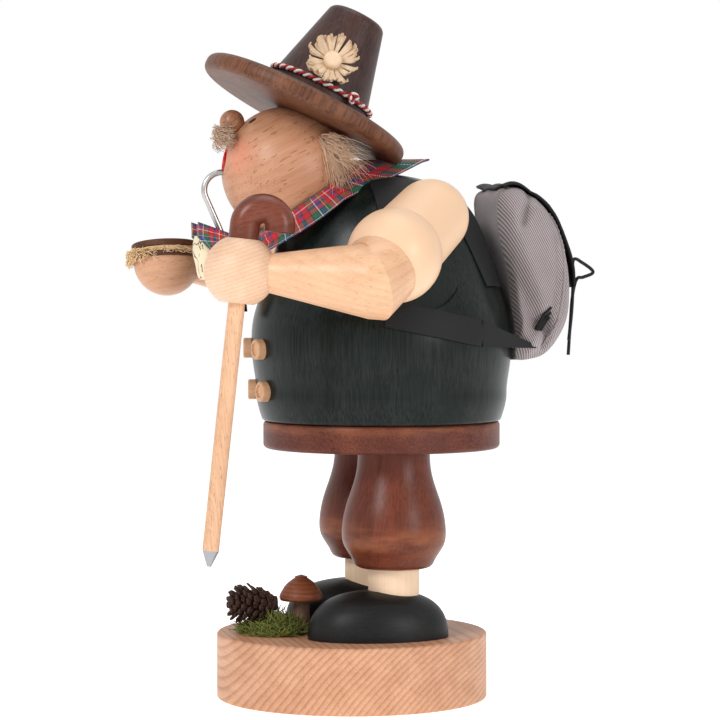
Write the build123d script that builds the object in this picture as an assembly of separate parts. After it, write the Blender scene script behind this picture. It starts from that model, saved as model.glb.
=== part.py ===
"""Turned-wood incense smoker: a walker with a lift-off barrel torso.

Units are millimetres. +Z is up, the figure faces -Y, its left side is +X.
The origin is the centre of the round base's underside.
"""
from build123d import *
import os
from math import cos, radians, sin, sqrt

# Fits shared by all joints
glue_gap = 0.05
turn_gap = 0.3
cloth_gap = 0.25
overrun = 30.0

on_foot = (Align.CENTER, Align.CENTER, Align.MIN)
under_top = (Align.CENTER, Align.CENTER, Align.MAX)

# Round base
base_radius = 47.2
base_height = 22.8
base_edge = 0.9

# The body axis stands behind the base's centre
body_back = 10.7

# Shoes
shoe_half_width = 16.0
shoe_half_length = 24.6
shoe_height = 16.2
shoe_side = 19.6
shoe_forward = 5.8
sock_seat_depth = 6.5

# Legs
leg_side = 18.3
sock_radius = 8.8
trouser_bottom = 46.6
trouser_neck_radius = 12.4
trouser_bulge_radius = 17.9
trouser_foot_radius = 9.4
leg_rod_radius = 2.5
leg_rod_foot_depth = 11.0
leg_rod_belt_depth = 5.0

# Belt disc that carries the torso
belt_bottom = 87.0
belt_height = 9.6
belt_radius = 41.4
belt_round = 1.6
spigot_radius = 32.0
spigot_height = 3.0
air_hole_radius = 2.5
air_hole_circle = 23.0
air_hole_count = 3

# Incense tray and cone
tray_radius = 13.0
tray_height = 2.2
tray_wall = 0.5
tack_radius = 0.6
tack_head_radius = 1.3
tack_head_height = 0.5
tack_length = 5.0
tack_circle = 9.5
tack_count = 3
cone_radius = 5.5
cone_tip_radius = 1.2
cone_height = 24.0

# Hollow torso
torso_radius = 45.5
torso_height = 86.0
torso_bottom_round = 1.4
chamber_radius = 30.0
chamber_straight = 34.0
chamber_height = 64.0
chamber_roof_radius = 13.0

# Milled shoulder seats
shoulder_pad_radius = 17.6
shoulder_pad_side = 35.4
shoulder_pad_under_top = 31.6
shoulder_pad_back = 2.0
shoulder_pad_tilt = 12.0

# Waistcoat buttons
button_radius = 3.5
button_thickness = 3.0
button_round = 0.6
button_dish_radius = 2.2
button_dish_depth = 0.5
button_stem_radius = 1.0
button_stem_length = 3.5
button_angle = 12.0
button_rises = (10.8, 25.3)

# Head
head_radius = 22.4
head_forward = 34.0
head_above_torso = 0.6
neck_lean = 36.0
neck_tube_radius = 6.0
neck_tube_length = 26.0
neck_tube_start = 7.0
smoke_bore_radius = 3.0
mouth_rise = 4.0
mouth_rim_radius = 3.7
mouth_rim_depth = 0.9

# Nose
nose_radius = 4.3
nose_stem_radius = 1.3
nose_stem_length = 5.0
nose_angle = 41.5
nose_sink = 1.3

# Moustache and hair
moustache_radius = 3.3
moustache_half_span = 9.5
moustache_angle = 25.5
moustache_proud = 1.6
moustache_droop = 2.2
hair_thickness = 3.4
hair_gap = 0.2
hair_top_rise = 14.0
hair_bottom_drop = 7.5
hair_front_back = 9.0

# Hat
hat_tilt = 27.0
hat_behind_head = 6.4
hat_above_head = 21.4
brim_radius = 37.9
brim_thickness = 6.3
brim_round = 2.6
crown_radius = 19.2
crown_back = 2.4
crown_top_radius = 9.9
crown_height = 34.8
crown_top_round = 3.0
crown_tenon_radius = 9.0
crown_tenon_length = 3.0
hat_peg_radius = 2.5
hat_peg_length = 13.0
hat_peg_up = 6.0
hat_cord_radius = 0.95
hat_cord_rise = 5.6
hat_knot_radius = 2.0
hat_knot_turn = -23.0
flower_radius = 9.0
flower_button_radius = 3.2
flower_button_height = 3.4
flower_button_round = 1.1
flower_petal_count = 14
flower_petal_thickness = 0.9
flower_petal_half_width = 1.5
flower_petal_lift = 14.0
flower_rise = 13.6
flower_turn = -13.5
flower_peg_radius = 1.0
flower_peg_length = 4.0

# Tartan neckerchief
scarf_thickness = 0.9
scarf_low = 17.0
scarf_high = 10.0
scarf_low_radius = 25.0
scarf_nape_back = 8.0
scarf_nape_height = 5.0
scarf_tip_back = 17.5
scarf_tip_height = 5.2
scarf_wing_side = 22.5
scarf_wing_front = 25.0
scarf_wing_front_drop = 12.0
scarf_wing_back = 10.5
scarf_wing_back_drop = 5.6
scarf_knot_length = 11.0
scarf_knot_radius = 4.0
scarf_knot_before_head = 13.5
scarf_knot_under_head = 25.6
scarf_end_side = 6.2
scarf_end_length = 14.5
scarf_end_width = 6.0
scarf_end_rise = 8.0
scarf_end_flare = 3.0

# Long pipe
pipe_radius = 1.05
pipe_entry_drop = 0.4
pipe_entry_length = 4.0
pipe_straight = 0.3
pipe_bend_radius = 6.1
pipe_bend_angle = 114.0
pipe_leg_length = 30.0
pipe_sump_radius = 2.6
pipe_sump_above = 6.0
pipe_sump_below = 4.0
pipe_sump_tip_radius = 1.6
pipe_bowl_radius = 5.0
pipe_bowl_height = 13.5
pipe_bowl_foot_radius = 2.2
pipe_bowl_mouth_share = 0.86
pipe_bowl_forward = 11.8
pipe_bowl_rise = 0.5
pipe_neck_radius = 1.5
pipe_lid_height = 2.4
pipe_lid_knob_radius = 0.9
pipe_tassel_foot_radius = 2.3
pipe_tassel_length = 8.0
pipe_travel_gap = 0.05

# Arms: shoulder ball centre, then two straight members that meet in a mitre
shoulder_side = 42.7
shoulder_back = 6.6
shoulder_under_top = 15.8
sleeve_shoulder_radius = 12.9
cuff_neck_radius = 13.5
cuff_radius = 15.8
cuff_middle = 26.3
cuff_depth = 7.0
elbow_radius = 12.5
wrist_radius = 6.45
upper_arm_length = 43.1
forearm_length = 42.9
forearm_rise = 4.1
forearm_inward = 18.9
left_arm_drop = 29.2
left_arm_out = 44.7
right_arm_drop = 24.9
right_arm_out = 28.5
arm_peg_radius = 3.0
arm_peg_length = 16.0
wrist_peg_radius = 2.0
wrist_peg_length = 9.0
wrist_peg_drop = 2.8
elbow_peg_radius = 3.0
elbow_peg_half = 4.5
hand_radius = 11.9
hand_flat = 10.5
hand_wrist_flat = 10.05
palm_flat = 0.6

# Walking stick
stick_radius = 2.75
stick_lean = 6.2
stick_below = 91.6
stick_tip_length = 5.2
stick_tip_radius = 0.7
stick_tip_socket = 3.0
stick_pin_radius = 1.0
crook_ring_radius = 5.7
crook_radius = 4.95
crook_turn = 13.5
crook_foot_length = 4.8
crook_free_length = 1.4
crook_tenon_length = 4.0

# Filled roll on the open palm
roll_radius = 12.6
roll_tilt = 10.6
roll_bottom_height = 1.9
roll_filling_height = 1.7
roll_filling_inset = 0.5
roll_top_height = 2.4
roll_round = 0.5
roll_peg_radius = 1.2
roll_peg_length = 5.0

# Rucksack
pack_half_width = 22.0
pack_front = 34.0
pack_depth = 30.2
pack_low = 20.8
pack_high = 81.2
pack_flap_thickness = 1.0
pack_flap_half_width = 17.0
pack_flap_start = 7.5
strap_width = 9.0
strap_thickness = 0.9
strap_side = 24.0
strap_front = -4.5
strap_under_bag = 10.0
strap_low_front = 38.0
strap_low_back = 31.0
strap_leave_back = 26.4
strap_end_side = 21.0
strap_end_back = 49.5
strap_end_narrow = 3.5

# Lace that ties the flap: its route runs end, flap edge, bow, other end
lace_radius = 0.6
lace_sides = (15.0, 14.5, 13.5, 12.5, 10.5, 9.0, 10.0, 11.2, 9.5, 8.5, 8.0)
lace_backs = (63.8, 65.0, 65.8, 66.2, 70.2, 74.6, 70.7, 67.8, 66.8, 66.4, 65.8)
lace_rises = (28.0, 38.0, 48.0, 56.0, 55.0, 51.8, 50.0, 49.2, 43.0, 34.0, 22.6)

# Forest floor on the base
moss_height = 4.6
moss_round = 2.7
moss_side = -2.0
moss_forward = 29.5
moss_half_side = 14.0
moss_half_depth = 11.0
mushroom_side = -2.0
mushroom_forward = 17.7
mushroom_stem_radius = 3.3
mushroom_stem_top_radius = 2.6
mushroom_cap_radius = 7.6
mushroom_cap_height = 9.0
mushroom_stem_in_cap = 3.6
mushroom_height = 20.0
mushroom_root = 1.5
fir_cone_radius = 7.6
fir_cone_length = 18.0
fir_cone_forward = 34.5
fir_cone_rise = 10.2
fir_cone_rows = 7
fir_cone_taper_share = 0.72
fir_cone_core_share = 0.68

# Places worked out from the sizes above
belt_top = belt_bottom + belt_height
torso_top = belt_top + torso_height
head_center = Vector(0, body_back - head_forward, torso_top + head_above_torso)
hat_center = head_center + Vector(0, hat_behind_head, hat_above_head)


def save(solid, name):
    """Write one named piece as a STEP file."""
    export_step(solid, "parts/" + name + ".step")


def turned(outline):
    """Turn straight runs of (radius, height) points about the Z axis."""
    with BuildPart() as piece:
        with BuildSketch(Plane.XZ):
            with BuildLine():
                Polyline(*outline, close=True)
            make_face()
        revolve(axis=Axis.Z)
    return piece.part


def turned_curve(outline, start_tangent, end_tangent):
    """Turn a smooth outline about the Z axis and close it flat to the axis."""
    first = outline[0]
    last = outline[-1]
    with BuildPart() as piece:
        with BuildSketch(Plane.XZ):
            with BuildLine():
                Spline(*outline, tangents=(start_tangent, end_tangent))
                if last[0] > 0:
                    Line(last, (0, last[1]))
                Line((0, last[1]), (0, first[1]))
                if first[0] > 0:
                    Line((0, first[1]), first)
            make_face()
        revolve(axis=Axis.Z)
    return piece.part


def rod(start, end, radius, end_radius=None):
    """Round bar or cone from one point to another."""
    along = end - start
    plane = Plane(origin=start, z_dir=along)
    if end_radius is None:
        return plane * Cylinder(radius, along.length, align=on_foot)
    return plane * Cone(radius, end_radius, along.length, align=on_foot)


def block(low, high):
    """Box between two opposite corners."""
    size = high - low
    return Location(low) * Box(size.X, size.Y, size.Z, align=(Align.MIN, Align.MIN, Align.MIN))


def mirrored(solid):
    """Copy of a left-hand piece on the figure's right."""
    return mirror(solid, about=Plane.YZ)


# Base, shoes and legs

def make_base():
    plate = Cylinder(base_radius, base_height, align=on_foot)
    return fillet(plate.edges(), base_edge)


def make_shoe():
    """Domed shoe on an oval sole, lofted through ellipses that draw in upwards."""
    height_shares = (0.0, 0.30, 0.58, 0.80, 0.94, 1.0)
    width_shares = (1.0, 0.98, 0.895, 0.735, 0.50, 0.27)
    with BuildPart() as shoe:
        for height_share, width_share in zip(height_shares, width_shares):
            with BuildSketch(Plane.XY.offset(shoe_height * height_share)):
                Ellipse(shoe_half_width * width_share, shoe_half_length * width_share)
        loft()
    return Location((shoe_side, body_back - shoe_forward, base_height)) * shoe.part


def make_sock():
    foot = base_height + shoe_height - sock_seat_depth
    height = trouser_bottom - foot
    sock = Cylinder(sock_radius, height, align=on_foot)
    return Location((leg_side, body_back, foot)) * sock


def make_trouser():
    height = belt_bottom - trouser_bottom
    neck = trouser_neck_radius
    bulge = trouser_bulge_radius
    foot = trouser_foot_radius
    height_shares = (1.0, 0.82, 0.69, 0.545, 0.34, 0.205, 0.075)
    swell_shares = (0.0, 0.10, 0.36, 0.72, 1.0, 0.90, 0.34)
    points = []
    for height_share, swell_share in zip(height_shares, swell_shares):
        points.append((neck + (bulge - neck) * swell_share, height * height_share))
    points.append((foot, 0))
    leg = turned_curve(points, (0, -1), (-1, 0))
    return Location((leg_side, body_back, trouser_bottom)) * leg


def make_leg_rod(gap):
    bottom = Vector(leg_side, body_back, base_height - leg_rod_foot_depth - gap)
    top = Vector(leg_side, body_back, belt_bottom + leg_rod_belt_depth + gap)
    return rod(bottom, top, leg_rod_radius + gap)


# Belt disc, tray and incense

def make_belt():
    disc = Cylinder(belt_radius, belt_height, align=on_foot)
    disc = fillet(disc.edges(), belt_round)
    spigot = Location((0, 0, belt_height)) * Cylinder(
        spigot_radius, spigot_height, align=on_foot)
    belt = disc + spigot
    for hole in PolarLocations(air_hole_circle, air_hole_count):
        belt -= hole * Cylinder(air_hole_radius, overrun, align=(Align.CENTER, Align.CENTER, Align.CENTER))
    return Location((0, body_back, belt_bottom)) * belt


def tray_floor():
    return belt_top + spigot_height


def make_tray():
    inner = tray_radius - tray_wall
    outline = [(0, 0), (inner, 0), (tray_radius, tray_height), (inner, tray_height),
               (inner - tray_wall, tray_wall), (0, tray_wall)]
    tray = Location((0, body_back, tray_floor())) * turned(outline)
    return tray - make_tacks(glue_gap)


def make_tacks(gap):
    """Small nails that hold the tray; they share one node."""
    shank_top = tray_wall
    tacks = []
    for spot in PolarLocations(tack_circle, tack_count, start_angle=360 / tack_count / 2):
        shank = Location((0, 0, shank_top + tack_head_height - tack_length)) * Cylinder(
            tack_radius + gap, tack_length, align=on_foot)
        if gap == 0:
            shank += Location((0, 0, shank_top)) * Cylinder(
                tack_head_radius, tack_head_height, align=on_foot)
        tacks.append(Location((0, body_back, tray_floor())) * spot * shank)
    return tacks


def make_incense_cone():
    foot = Location((0, body_back, tray_floor() + tray_wall))
    return foot * Cone(cone_radius, cone_tip_radius, cone_height, align=on_foot)


# Torso

def torso_outline(grow):
    """Barrel outline from the top pole to the bottom edge, moved out by grow."""
    radius_shares = (0.0, 0.286, 0.549, 0.703, 0.813, 0.923, 0.990, 1.0, 0.990, 0.963, 0.915)
    height_shares = (1.0, 0.981, 0.923, 0.839, 0.702, 0.522, 0.400, 0.330, 0.240, 0.133, 0.0)
    points = []
    for radius_share, height_share in zip(radius_shares, height_shares):
        lift = grow * height_share
        radius = torso_radius * radius_share
        if radius_share > 0:
            radius += grow
        points.append((radius, torso_height * height_share + lift))
    return points


def make_torso_body(grow=0.0):
    """Solid barrel without its hollow, on the body axis."""
    barrel = turned_curve(torso_outline(grow), (1, 0), (-0.35, -1))
    return Location((0, body_back, belt_top)) * barrel


def shoulder_plane():
    """Plane of the left milled seat, its normal pointing out of the body."""
    tilt = radians(shoulder_pad_tilt)
    center = Vector(shoulder_pad_side, body_back + shoulder_pad_back, torso_top - shoulder_pad_under_top)
    return Plane(origin=center, z_dir=(cos(tilt), 0, sin(tilt)))


def make_chamber():
    straight = chamber_straight
    outline = [(0, -overrun), (spigot_radius + turn_gap, -overrun),
               (spigot_radius + turn_gap, spigot_height + turn_gap),
               (chamber_radius, spigot_height + turn_gap), (chamber_radius, straight),
               (chamber_roof_radius, chamber_height), (0, chamber_height)]
    return Location((0, body_back, belt_top)) * turned(outline)


def neck_direction():
    lean = radians(neck_lean)
    return Vector(0, sin(lean), -cos(lean))


def make_neck_tube(gap=0.0):
    start = head_center + neck_direction() * neck_tube_start
    end = start + neck_direction() * neck_tube_length
    if gap > 0:
        start = start - neck_direction() * gap
        end = end + neck_direction() * overrun
        return rod(start, end, neck_tube_radius + gap)
    tube = rod(start, end, neck_tube_radius)
    return tube - make_neck_bore() - make_chamber()


def make_neck_bore():
    end = head_center + neck_direction() * (neck_tube_start + neck_tube_length + overrun)
    return rod(head_center, end, smoke_bore_radius)


def make_torso():
    barrel = make_torso_body()
    barrel = fillet(barrel.edges().sort_by(Axis.Z)[0], torso_bottom_round)
    barrel -= make_chamber()
    barrel -= Location(head_center) * Sphere(head_radius + glue_gap)
    barrel -= make_neck_tube(glue_gap)
    pad = shoulder_plane() * Cylinder(shoulder_pad_radius, overrun, align=on_foot)
    barrel -= pad
    barrel -= mirrored(pad)
    for side, drop, out in arm_sides():
        barrel -= make_arm_peg(side, drop, out, glue_gap)
    barrel -= make_button_stems(glue_gap)
    return barrel


def button_places():
    """Axis frames of the four buttons, pointing out of the body."""
    places = []
    for rise in button_rises:
        radius = outline_radius(rise)
        for turn in (-button_angle, button_angle):
            angle = radians(turn)
            outward = Vector(sin(angle), -cos(angle), 0)
            center = Vector(0, body_back, belt_top + rise) + outward * radius
            places.append(Plane(origin=center, z_dir=outward))
    return places


def outline_radius(rise):
    """Barrel radius at a height above its foot, between two outline points."""
    points = torso_outline(0)
    for upper, lower in zip(points, points[1:]):
        if lower[1] <= rise <= upper[1]:
            share = (rise - lower[1]) / (upper[1] - lower[1])
            return lower[0] + (upper[0] - lower[0]) * share
    return torso_radius


def make_button_stems(gap):
    stems = []
    for place in button_places():
        stem = Cylinder(button_stem_radius + gap, 2 * (button_stem_length + gap))
        stems.append(place * stem)
    return stems


def make_buttons():
    """Four turned buttons with stems, in one node."""
    body_solid = make_torso_body(glue_gap)
    buttons = []
    for place in button_places():
        face = Cylinder(button_radius, button_thickness, align=on_foot)
        face = fillet(face.edges().sort_by(Axis.Z)[-1], button_round)
        dish = Location((0, 0, button_thickness - button_dish_depth)) * Cylinder(
            button_dish_radius, overrun, align=on_foot)
        skirt = Cylinder(button_radius, button_stem_radius, align=under_top)
        button = place * (face + skirt - dish) - body_solid
        stem = place * Cylinder(button_stem_radius, button_stem_length,
                                align=under_top)
        cap = place * Cylinder(button_stem_radius, button_thickness / 2,
                               align=on_foot)
        buttons.append(button + stem + cap)
    return buttons


# Head and face

def nose_direction():
    angle = radians(nose_angle)
    return Vector(0, -cos(angle), sin(angle))


def make_nose(gap=0.0):
    center = head_center + nose_direction() * (head_radius + nose_radius - nose_sink)
    root = head_center + nose_direction() * (head_radius - nose_stem_length)
    stem = rod(root - nose_direction() * gap, center, nose_stem_radius + gap)
    if gap > 0:
        return stem
    ball = Location(center) * Sphere(nose_radius)
    return ball - Location(head_center) * Sphere(head_radius + glue_gap) + stem


def mouth_place():
    depth = sqrt(head_radius ** 2 - mouth_rise ** 2)
    return head_center + Vector(0, -depth, mouth_rise)


def pipe_entry():
    """Centre of the pipe's hole, just under the mouth's bore."""
    drop = smoke_bore_radius + pipe_radius + pipe_entry_drop
    rise = mouth_rise - drop
    depth = sqrt(head_radius ** 2 - rise ** 2)
    return head_center + Vector(0, -depth, rise)


def make_head():
    head = Location(head_center) * Sphere(head_radius)
    mouth = mouth_place()
    bore_end = Vector(0, head_center.Y, mouth.Z)
    outside = Vector(0, mouth.Y - overrun, mouth.Z)
    head -= rod(bore_end, outside, smoke_bore_radius)
    rim_start = mouth + Vector(0, mouth_rim_depth, 0)
    rim_end = mouth - Vector(0, mouth_rim_depth, 0)
    rim_grow = mouth_rim_radius - smoke_bore_radius
    head -= rod(rim_start, rim_end, smoke_bore_radius, mouth_rim_radius + rim_grow)
    head -= make_neck_bore()
    head -= make_neck_tube(glue_gap)
    entry = pipe_entry()
    head -= rod(entry + Vector(0, pipe_entry_length + pipe_travel_gap, 0), entry - Vector(0, overrun, 0),
                pipe_radius + pipe_travel_gap)
    head -= make_nose(glue_gap)
    head -= hat_frame() * Location((0, 0, -glue_gap)) * Cylinder(
        brim_radius, overrun, align=on_foot)
    head -= make_hat_peg(glue_gap)
    return head


def make_moustache():
    """Two fluffy lobes under the nose, resting on the head."""
    angle = radians(moustache_angle)
    outward = Vector(0, -cos(angle), sin(angle))
    root = head_center + outward * (head_radius + moustache_proud)
    tip_side = moustache_half_span - moustache_radius / 2
    tip_back = head_radius - sqrt(head_radius ** 2 - tip_side ** 2)
    tip = root + Vector(tip_side, tip_back, -moustache_droop)
    lobe = rod(root, tip, moustache_radius, moustache_radius / 2)
    lobe += Location(root) * Sphere(moustache_radius)
    lobe += Location(tip) * Sphere(moustache_radius / 2)
    both = lobe + mirrored(lobe)
    both -= Location(head_center) * Sphere(head_radius + glue_gap)
    nose = head_center + nose_direction() * (head_radius + nose_radius - nose_sink)
    return both - Location(nose) * Sphere(nose_radius + glue_gap)


def make_hair():
    """Fringe of flax around the back of the head, under the brim."""
    outer = Location(head_center) * Sphere(head_radius + hair_gap + hair_thickness)
    fringe = outer - Location(head_center) * Sphere(head_radius + hair_gap)
    low = head_center + Vector(-overrun, hair_front_back, -hair_bottom_drop)
    high = head_center + Vector(overrun, overrun, hair_top_rise)
    fringe = fringe & block(low, high)
    fringe -= hat_frame() * Location((0, 0, -cloth_gap)) * Cylinder(
        brim_radius + overrun, overrun, align=on_foot)
    fringe -= make_scarf_collar_space()
    fringe -= make_scarf_tip(cloth_gap)
    return fringe - make_torso_body(cloth_gap + scarf_thickness)


# Hat

def hat_frame():
    """Frame on the brim's underside, its Z axis along the hat."""
    return Location(hat_center, (-hat_tilt, 0, 0)) * Location((0, 0, -brim_thickness / 2))


def crown_frame():
    """The hat's frame moved back to the crown's axis."""
    return hat_frame() * Location((0, crown_back, 0))


def hat_plane():
    tilt = radians(hat_tilt)
    normal = Vector(0, sin(tilt), cos(tilt))
    return hat_center - normal * (brim_thickness / 2), normal


def make_brim():
    brim = Cylinder(brim_radius, brim_thickness, align=on_foot)
    brim = fillet(brim.edges(), brim_round)
    socket = Location((0, crown_back, brim_thickness - crown_tenon_length - glue_gap)) * Cylinder(
        crown_tenon_radius + glue_gap, overrun, align=on_foot)
    brim = hat_frame() * (brim - socket)
    return brim - make_hat_peg(glue_gap)


def make_crown():
    crown = Location((0, 0, brim_thickness)) * Cone(
        crown_radius, crown_top_radius, crown_height, align=on_foot)
    crown = fillet(crown.edges().sort_by(Axis.Z)[-1], crown_top_round)
    crown += Location((0, 0, brim_thickness - crown_tenon_length)) * Cylinder(
        crown_tenon_radius, crown_tenon_length, align=on_foot)
    crown = crown_frame() * crown
    crown -= make_flower_peg(glue_gap)
    return crown - make_hat_peg(glue_gap)


def make_hat_peg(gap=0.0):
    """Dowel from the head up into the brim."""
    plane_point, normal = hat_plane()
    reach = (plane_point - head_center).dot(normal)
    foot = head_center + normal * reach
    start = foot - normal * (hat_peg_length - hat_peg_up + gap)
    return rod(start, foot + normal * (hat_peg_up + gap), hat_peg_radius + gap)


def crown_radius_at(rise):
    return crown_radius + (crown_top_radius - crown_radius) * rise / crown_height


def make_hat_cord():
    """Twisted cord round the crown, with its knot on the left."""
    ring = crown_radius_at(hat_cord_rise) + hat_cord_radius + glue_gap
    cord = Location((0, 0, brim_thickness + hat_cord_rise)) * Torus(ring, hat_cord_radius)
    turn = radians(hat_knot_turn)
    knot_ring = ring + hat_knot_radius - hat_cord_radius
    knot_place = (knot_ring * cos(turn), -knot_ring * sin(turn), brim_thickness + hat_cord_rise)
    cord += Location(knot_place) * Sphere(hat_knot_radius)
    slope = Location((0, 0, brim_thickness)) * Cone(
        crown_radius + glue_gap, crown_top_radius + glue_gap, crown_height,
        align=on_foot)
    return crown_frame() * (cord - slope)


def flower_frame():
    """Frame on the crown's left side, its Z axis square to the crown."""
    turn = flower_turn
    slope = crown_lean()
    radius = crown_radius_at(flower_rise)
    return (crown_frame() * Location((0, 0, brim_thickness + flower_rise)) * Rotation(0, 0, turn)
            * Location((radius, 0, 0)) * Rotation(0, 90 - slope, 0))


def crown_lean():
    """Lean of the crown's side from the vertical, in degrees."""
    return Vector(crown_height, crown_radius - crown_top_radius, 0).get_angle(Vector(1, 0, 0))


def make_flower_peg(gap=0.0):
    peg = Cylinder(flower_peg_radius + gap, flower_peg_length + gap, align=under_top)
    return flower_frame() * peg


def make_flower():
    """Wood-shaving flower: a split button with a ring of petals."""
    button = Cylinder(flower_button_radius, flower_button_height, align=on_foot)
    button = fillet(button.edges().sort_by(Axis.Z)[-1], flower_button_round)
    flower = button
    reach = flower_radius - flower_button_radius / 2
    lift = Rotation(0, -flower_petal_lift, 0)
    for spot in PolarLocations(0, flower_petal_count):
        petal = Location((reach / 2 + flower_button_radius / 2, 0, flower_petal_thickness)) * Cylinder(
            reach / 2, flower_petal_thickness, align=on_foot)
        slab = Box(4 * flower_radius, 2 * flower_petal_half_width, overrun)
        flower += spot * lift * (petal & slab)
    flower = Location((0, 0, flower_petal_thickness)) * flower
    stalk = Cylinder(flower_peg_radius, flower_peg_length + flower_petal_thickness,
                     align=on_foot)
    flower += Location((0, 0, -flower_peg_length)) * stalk
    return flower_frame() * flower


# Neckerchief

def neck_frame():
    """Frame at the head's centre, its Z axis along the neck towards the crown of the head."""
    return Plane(origin=head_center, z_dir=neck_direction() * -1, x_dir=(1, 0, 0))


def make_scarf_collar():
    """Folded band round the neck, on the head above and the shoulders below."""
    top_radius = sqrt(head_radius ** 2 - scarf_high ** 2) + cloth_gap
    outline = [(top_radius, -scarf_high), (top_radius + scarf_thickness, -scarf_high),
               (scarf_low_radius + scarf_thickness, -scarf_low),
               (scarf_low_radius - scarf_thickness, -scarf_low)]
    band = neck_frame() * turned(outline)
    band -= Location(head_center) * Sphere(head_radius + cloth_gap)
    band -= make_torso_body(cloth_gap)
    band -= make_scarf_tip(cloth_gap)
    return band.solids().sort_by(SortBy.VOLUME)[-1]


def make_scarf_tip(gap=0.0):
    """Triangle of the kerchief over the upper back: two folded halves that meet in a ridge."""
    nape = Vector(0, body_back - scarf_nape_back, torso_top + scarf_nape_height)
    tip = Vector(0, body_back + scarf_tip_back, torso_top + scarf_tip_height)
    front = Vector(scarf_wing_side, body_back - scarf_wing_front, torso_top - scarf_wing_front_drop)
    back = Vector(scarf_wing_side, body_back - scarf_wing_back, torso_top - scarf_wing_back_drop)
    drop = Vector(0, 0, gap)
    half = None
    for corners in ((nape, front, back), (nape, back, tip)):
        lowered = [corner - drop for corner in corners]
        face = make_face(Polyline(*lowered, close=True))
        sheet = extrude(face, amount=scarf_thickness + 2 * gap, dir=(0, 0, 1))
        half = sheet if half is None else half + sheet
    both = half + mirrored(half)
    if gap > 0:
        return both
    both -= Location(head_center) * Sphere(head_radius + cloth_gap)
    both -= make_torso_body(cloth_gap)
    both -= hat_frame() * Location((0, 0, -cloth_gap)) * Cylinder(
        brim_radius + cloth_gap, overrun, align=on_foot)
    return both.solids().sort_by(SortBy.VOLUME)[-1]


def scarf_knot_center():
    return head_center - Vector(0, scarf_knot_before_head, scarf_knot_under_head)


def make_scarf_knot():
    center = scarf_knot_center()
    half = scarf_knot_length / 2 - scarf_knot_radius / 2
    knot = rod(center - Vector(half, 0, 0), center + Vector(half, 0, 0), scarf_knot_radius)
    knot += Location(center + Vector(half, 0, 0)) * Sphere(scarf_knot_radius)
    knot += Location(center - Vector(half, 0, 0)) * Sphere(scarf_knot_radius)
    knot -= Location(head_center) * Sphere(head_radius + cloth_gap)
    knot -= make_torso_body(cloth_gap)
    knot -= make_scarf_collar_space()
    return knot


def make_scarf_collar_space():
    """Space round the collar that the knot leaves free."""
    top_radius = sqrt(head_radius ** 2 - scarf_high ** 2)
    edge = scarf_thickness + 2 * cloth_gap
    outline = [(0, -scarf_high + cloth_gap), (top_radius + edge, -scarf_high + cloth_gap),
               (scarf_low_radius + edge, -scarf_low - cloth_gap), (0, -scarf_low - cloth_gap)]
    return neck_frame() * turned(outline)


def make_scarf_ends():
    """Two free ends of the kerchief, both in one node."""
    center = scarf_knot_center()
    width = scarf_end_width
    length = scarf_end_length
    ends = []
    for side in (1, -1):
        root = center + Vector(side * scarf_end_side, -scarf_knot_radius - cloth_gap, 0)
        plane = Plane(origin=root, z_dir=(1, 0, 0), x_dir=(0, 1, 0))
        corners = ((0, width / 2), (-length, scarf_end_rise),
                   (-length + width, scarf_end_rise - width - scarf_end_flare / 2),
                   (0, -width / 2))
        face = plane * make_face(Polyline(*corners, close=True))
        ends.append(extrude(face, amount=scarf_thickness / 2, both=True))
    return ends


# Pipe

def pipe_points():
    """Ends of the tube's three stretches and the direction of its lower leg."""
    entry = pipe_entry()
    start = entry + Vector(0, pipe_entry_length, 0)
    turn_in = entry - Vector(0, pipe_straight, 0)
    turn = radians(pipe_bend_angle)
    turn_out = turn_in + Vector(0, -sin(turn), -(1 - cos(turn))) * pipe_bend_radius
    middle = radians(pipe_bend_angle / 2)
    turn_middle = turn_in + Vector(0, -sin(middle), -(1 - cos(middle))) * pipe_bend_radius
    leg_direction = Vector(0, -cos(turn), -sin(turn))
    leg_end = turn_out + leg_direction * pipe_leg_length
    return start, turn_in, turn_middle, turn_out, leg_end, leg_direction


def make_pipe_stem():
    start, turn_in, turn_middle, turn_out, leg_end, leg_direction = pipe_points()
    with BuildPart() as stem:
        with BuildLine() as path:
            Line(start, turn_in)
            ThreePointArc(turn_in, turn_middle, turn_out)
            Line(turn_out, leg_end)
        with BuildSketch(Plane(origin=start, z_dir=turn_in - start)):
            Circle(pipe_radius)
        sweep(path=path.line)
    return stem.part


def make_pipe_sump():
    """Wooden sump on the tube's lower end, with the neck that carries the bowl."""
    leg_end, leg_direction = pipe_points()[4:]
    bottom = leg_end - Vector(0, 0, pipe_sump_below)
    sleeve_end = leg_end - leg_direction * pipe_sump_above
    sump = rod(leg_end, bottom, pipe_sump_radius, pipe_sump_tip_radius)
    sump += rod(leg_end, sleeve_end, pipe_sump_radius, pipe_sump_tip_radius)
    sump += rod(leg_end, pipe_bowl_foot(), pipe_neck_radius)
    return sump - rod(leg_end, leg_end - leg_direction * overrun, pipe_radius + glue_gap)


def pipe_bowl_foot():
    leg_end = pipe_points()[4]
    return leg_end + Vector(0, -pipe_bowl_forward, pipe_bowl_rise)


def make_pipe_bowl():
    foot = pipe_bowl_foot()
    radius = pipe_bowl_radius
    height = pipe_bowl_height
    radius_shares = (0.78, 1.0, pipe_bowl_mouth_share)
    height_shares = (0.22, 0.6, 1.0)
    outline = [(pipe_bowl_foot_radius, -pipe_neck_radius)]
    for radius_share, height_share in zip(radius_shares, height_shares):
        outline.append((radius * radius_share, height * height_share))
    bowl = Location(foot) * turned_curve(outline, (1, 0.6), (-0.3, 1))
    return bowl - rod(foot, pipe_points()[4], pipe_neck_radius + glue_gap)


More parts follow.
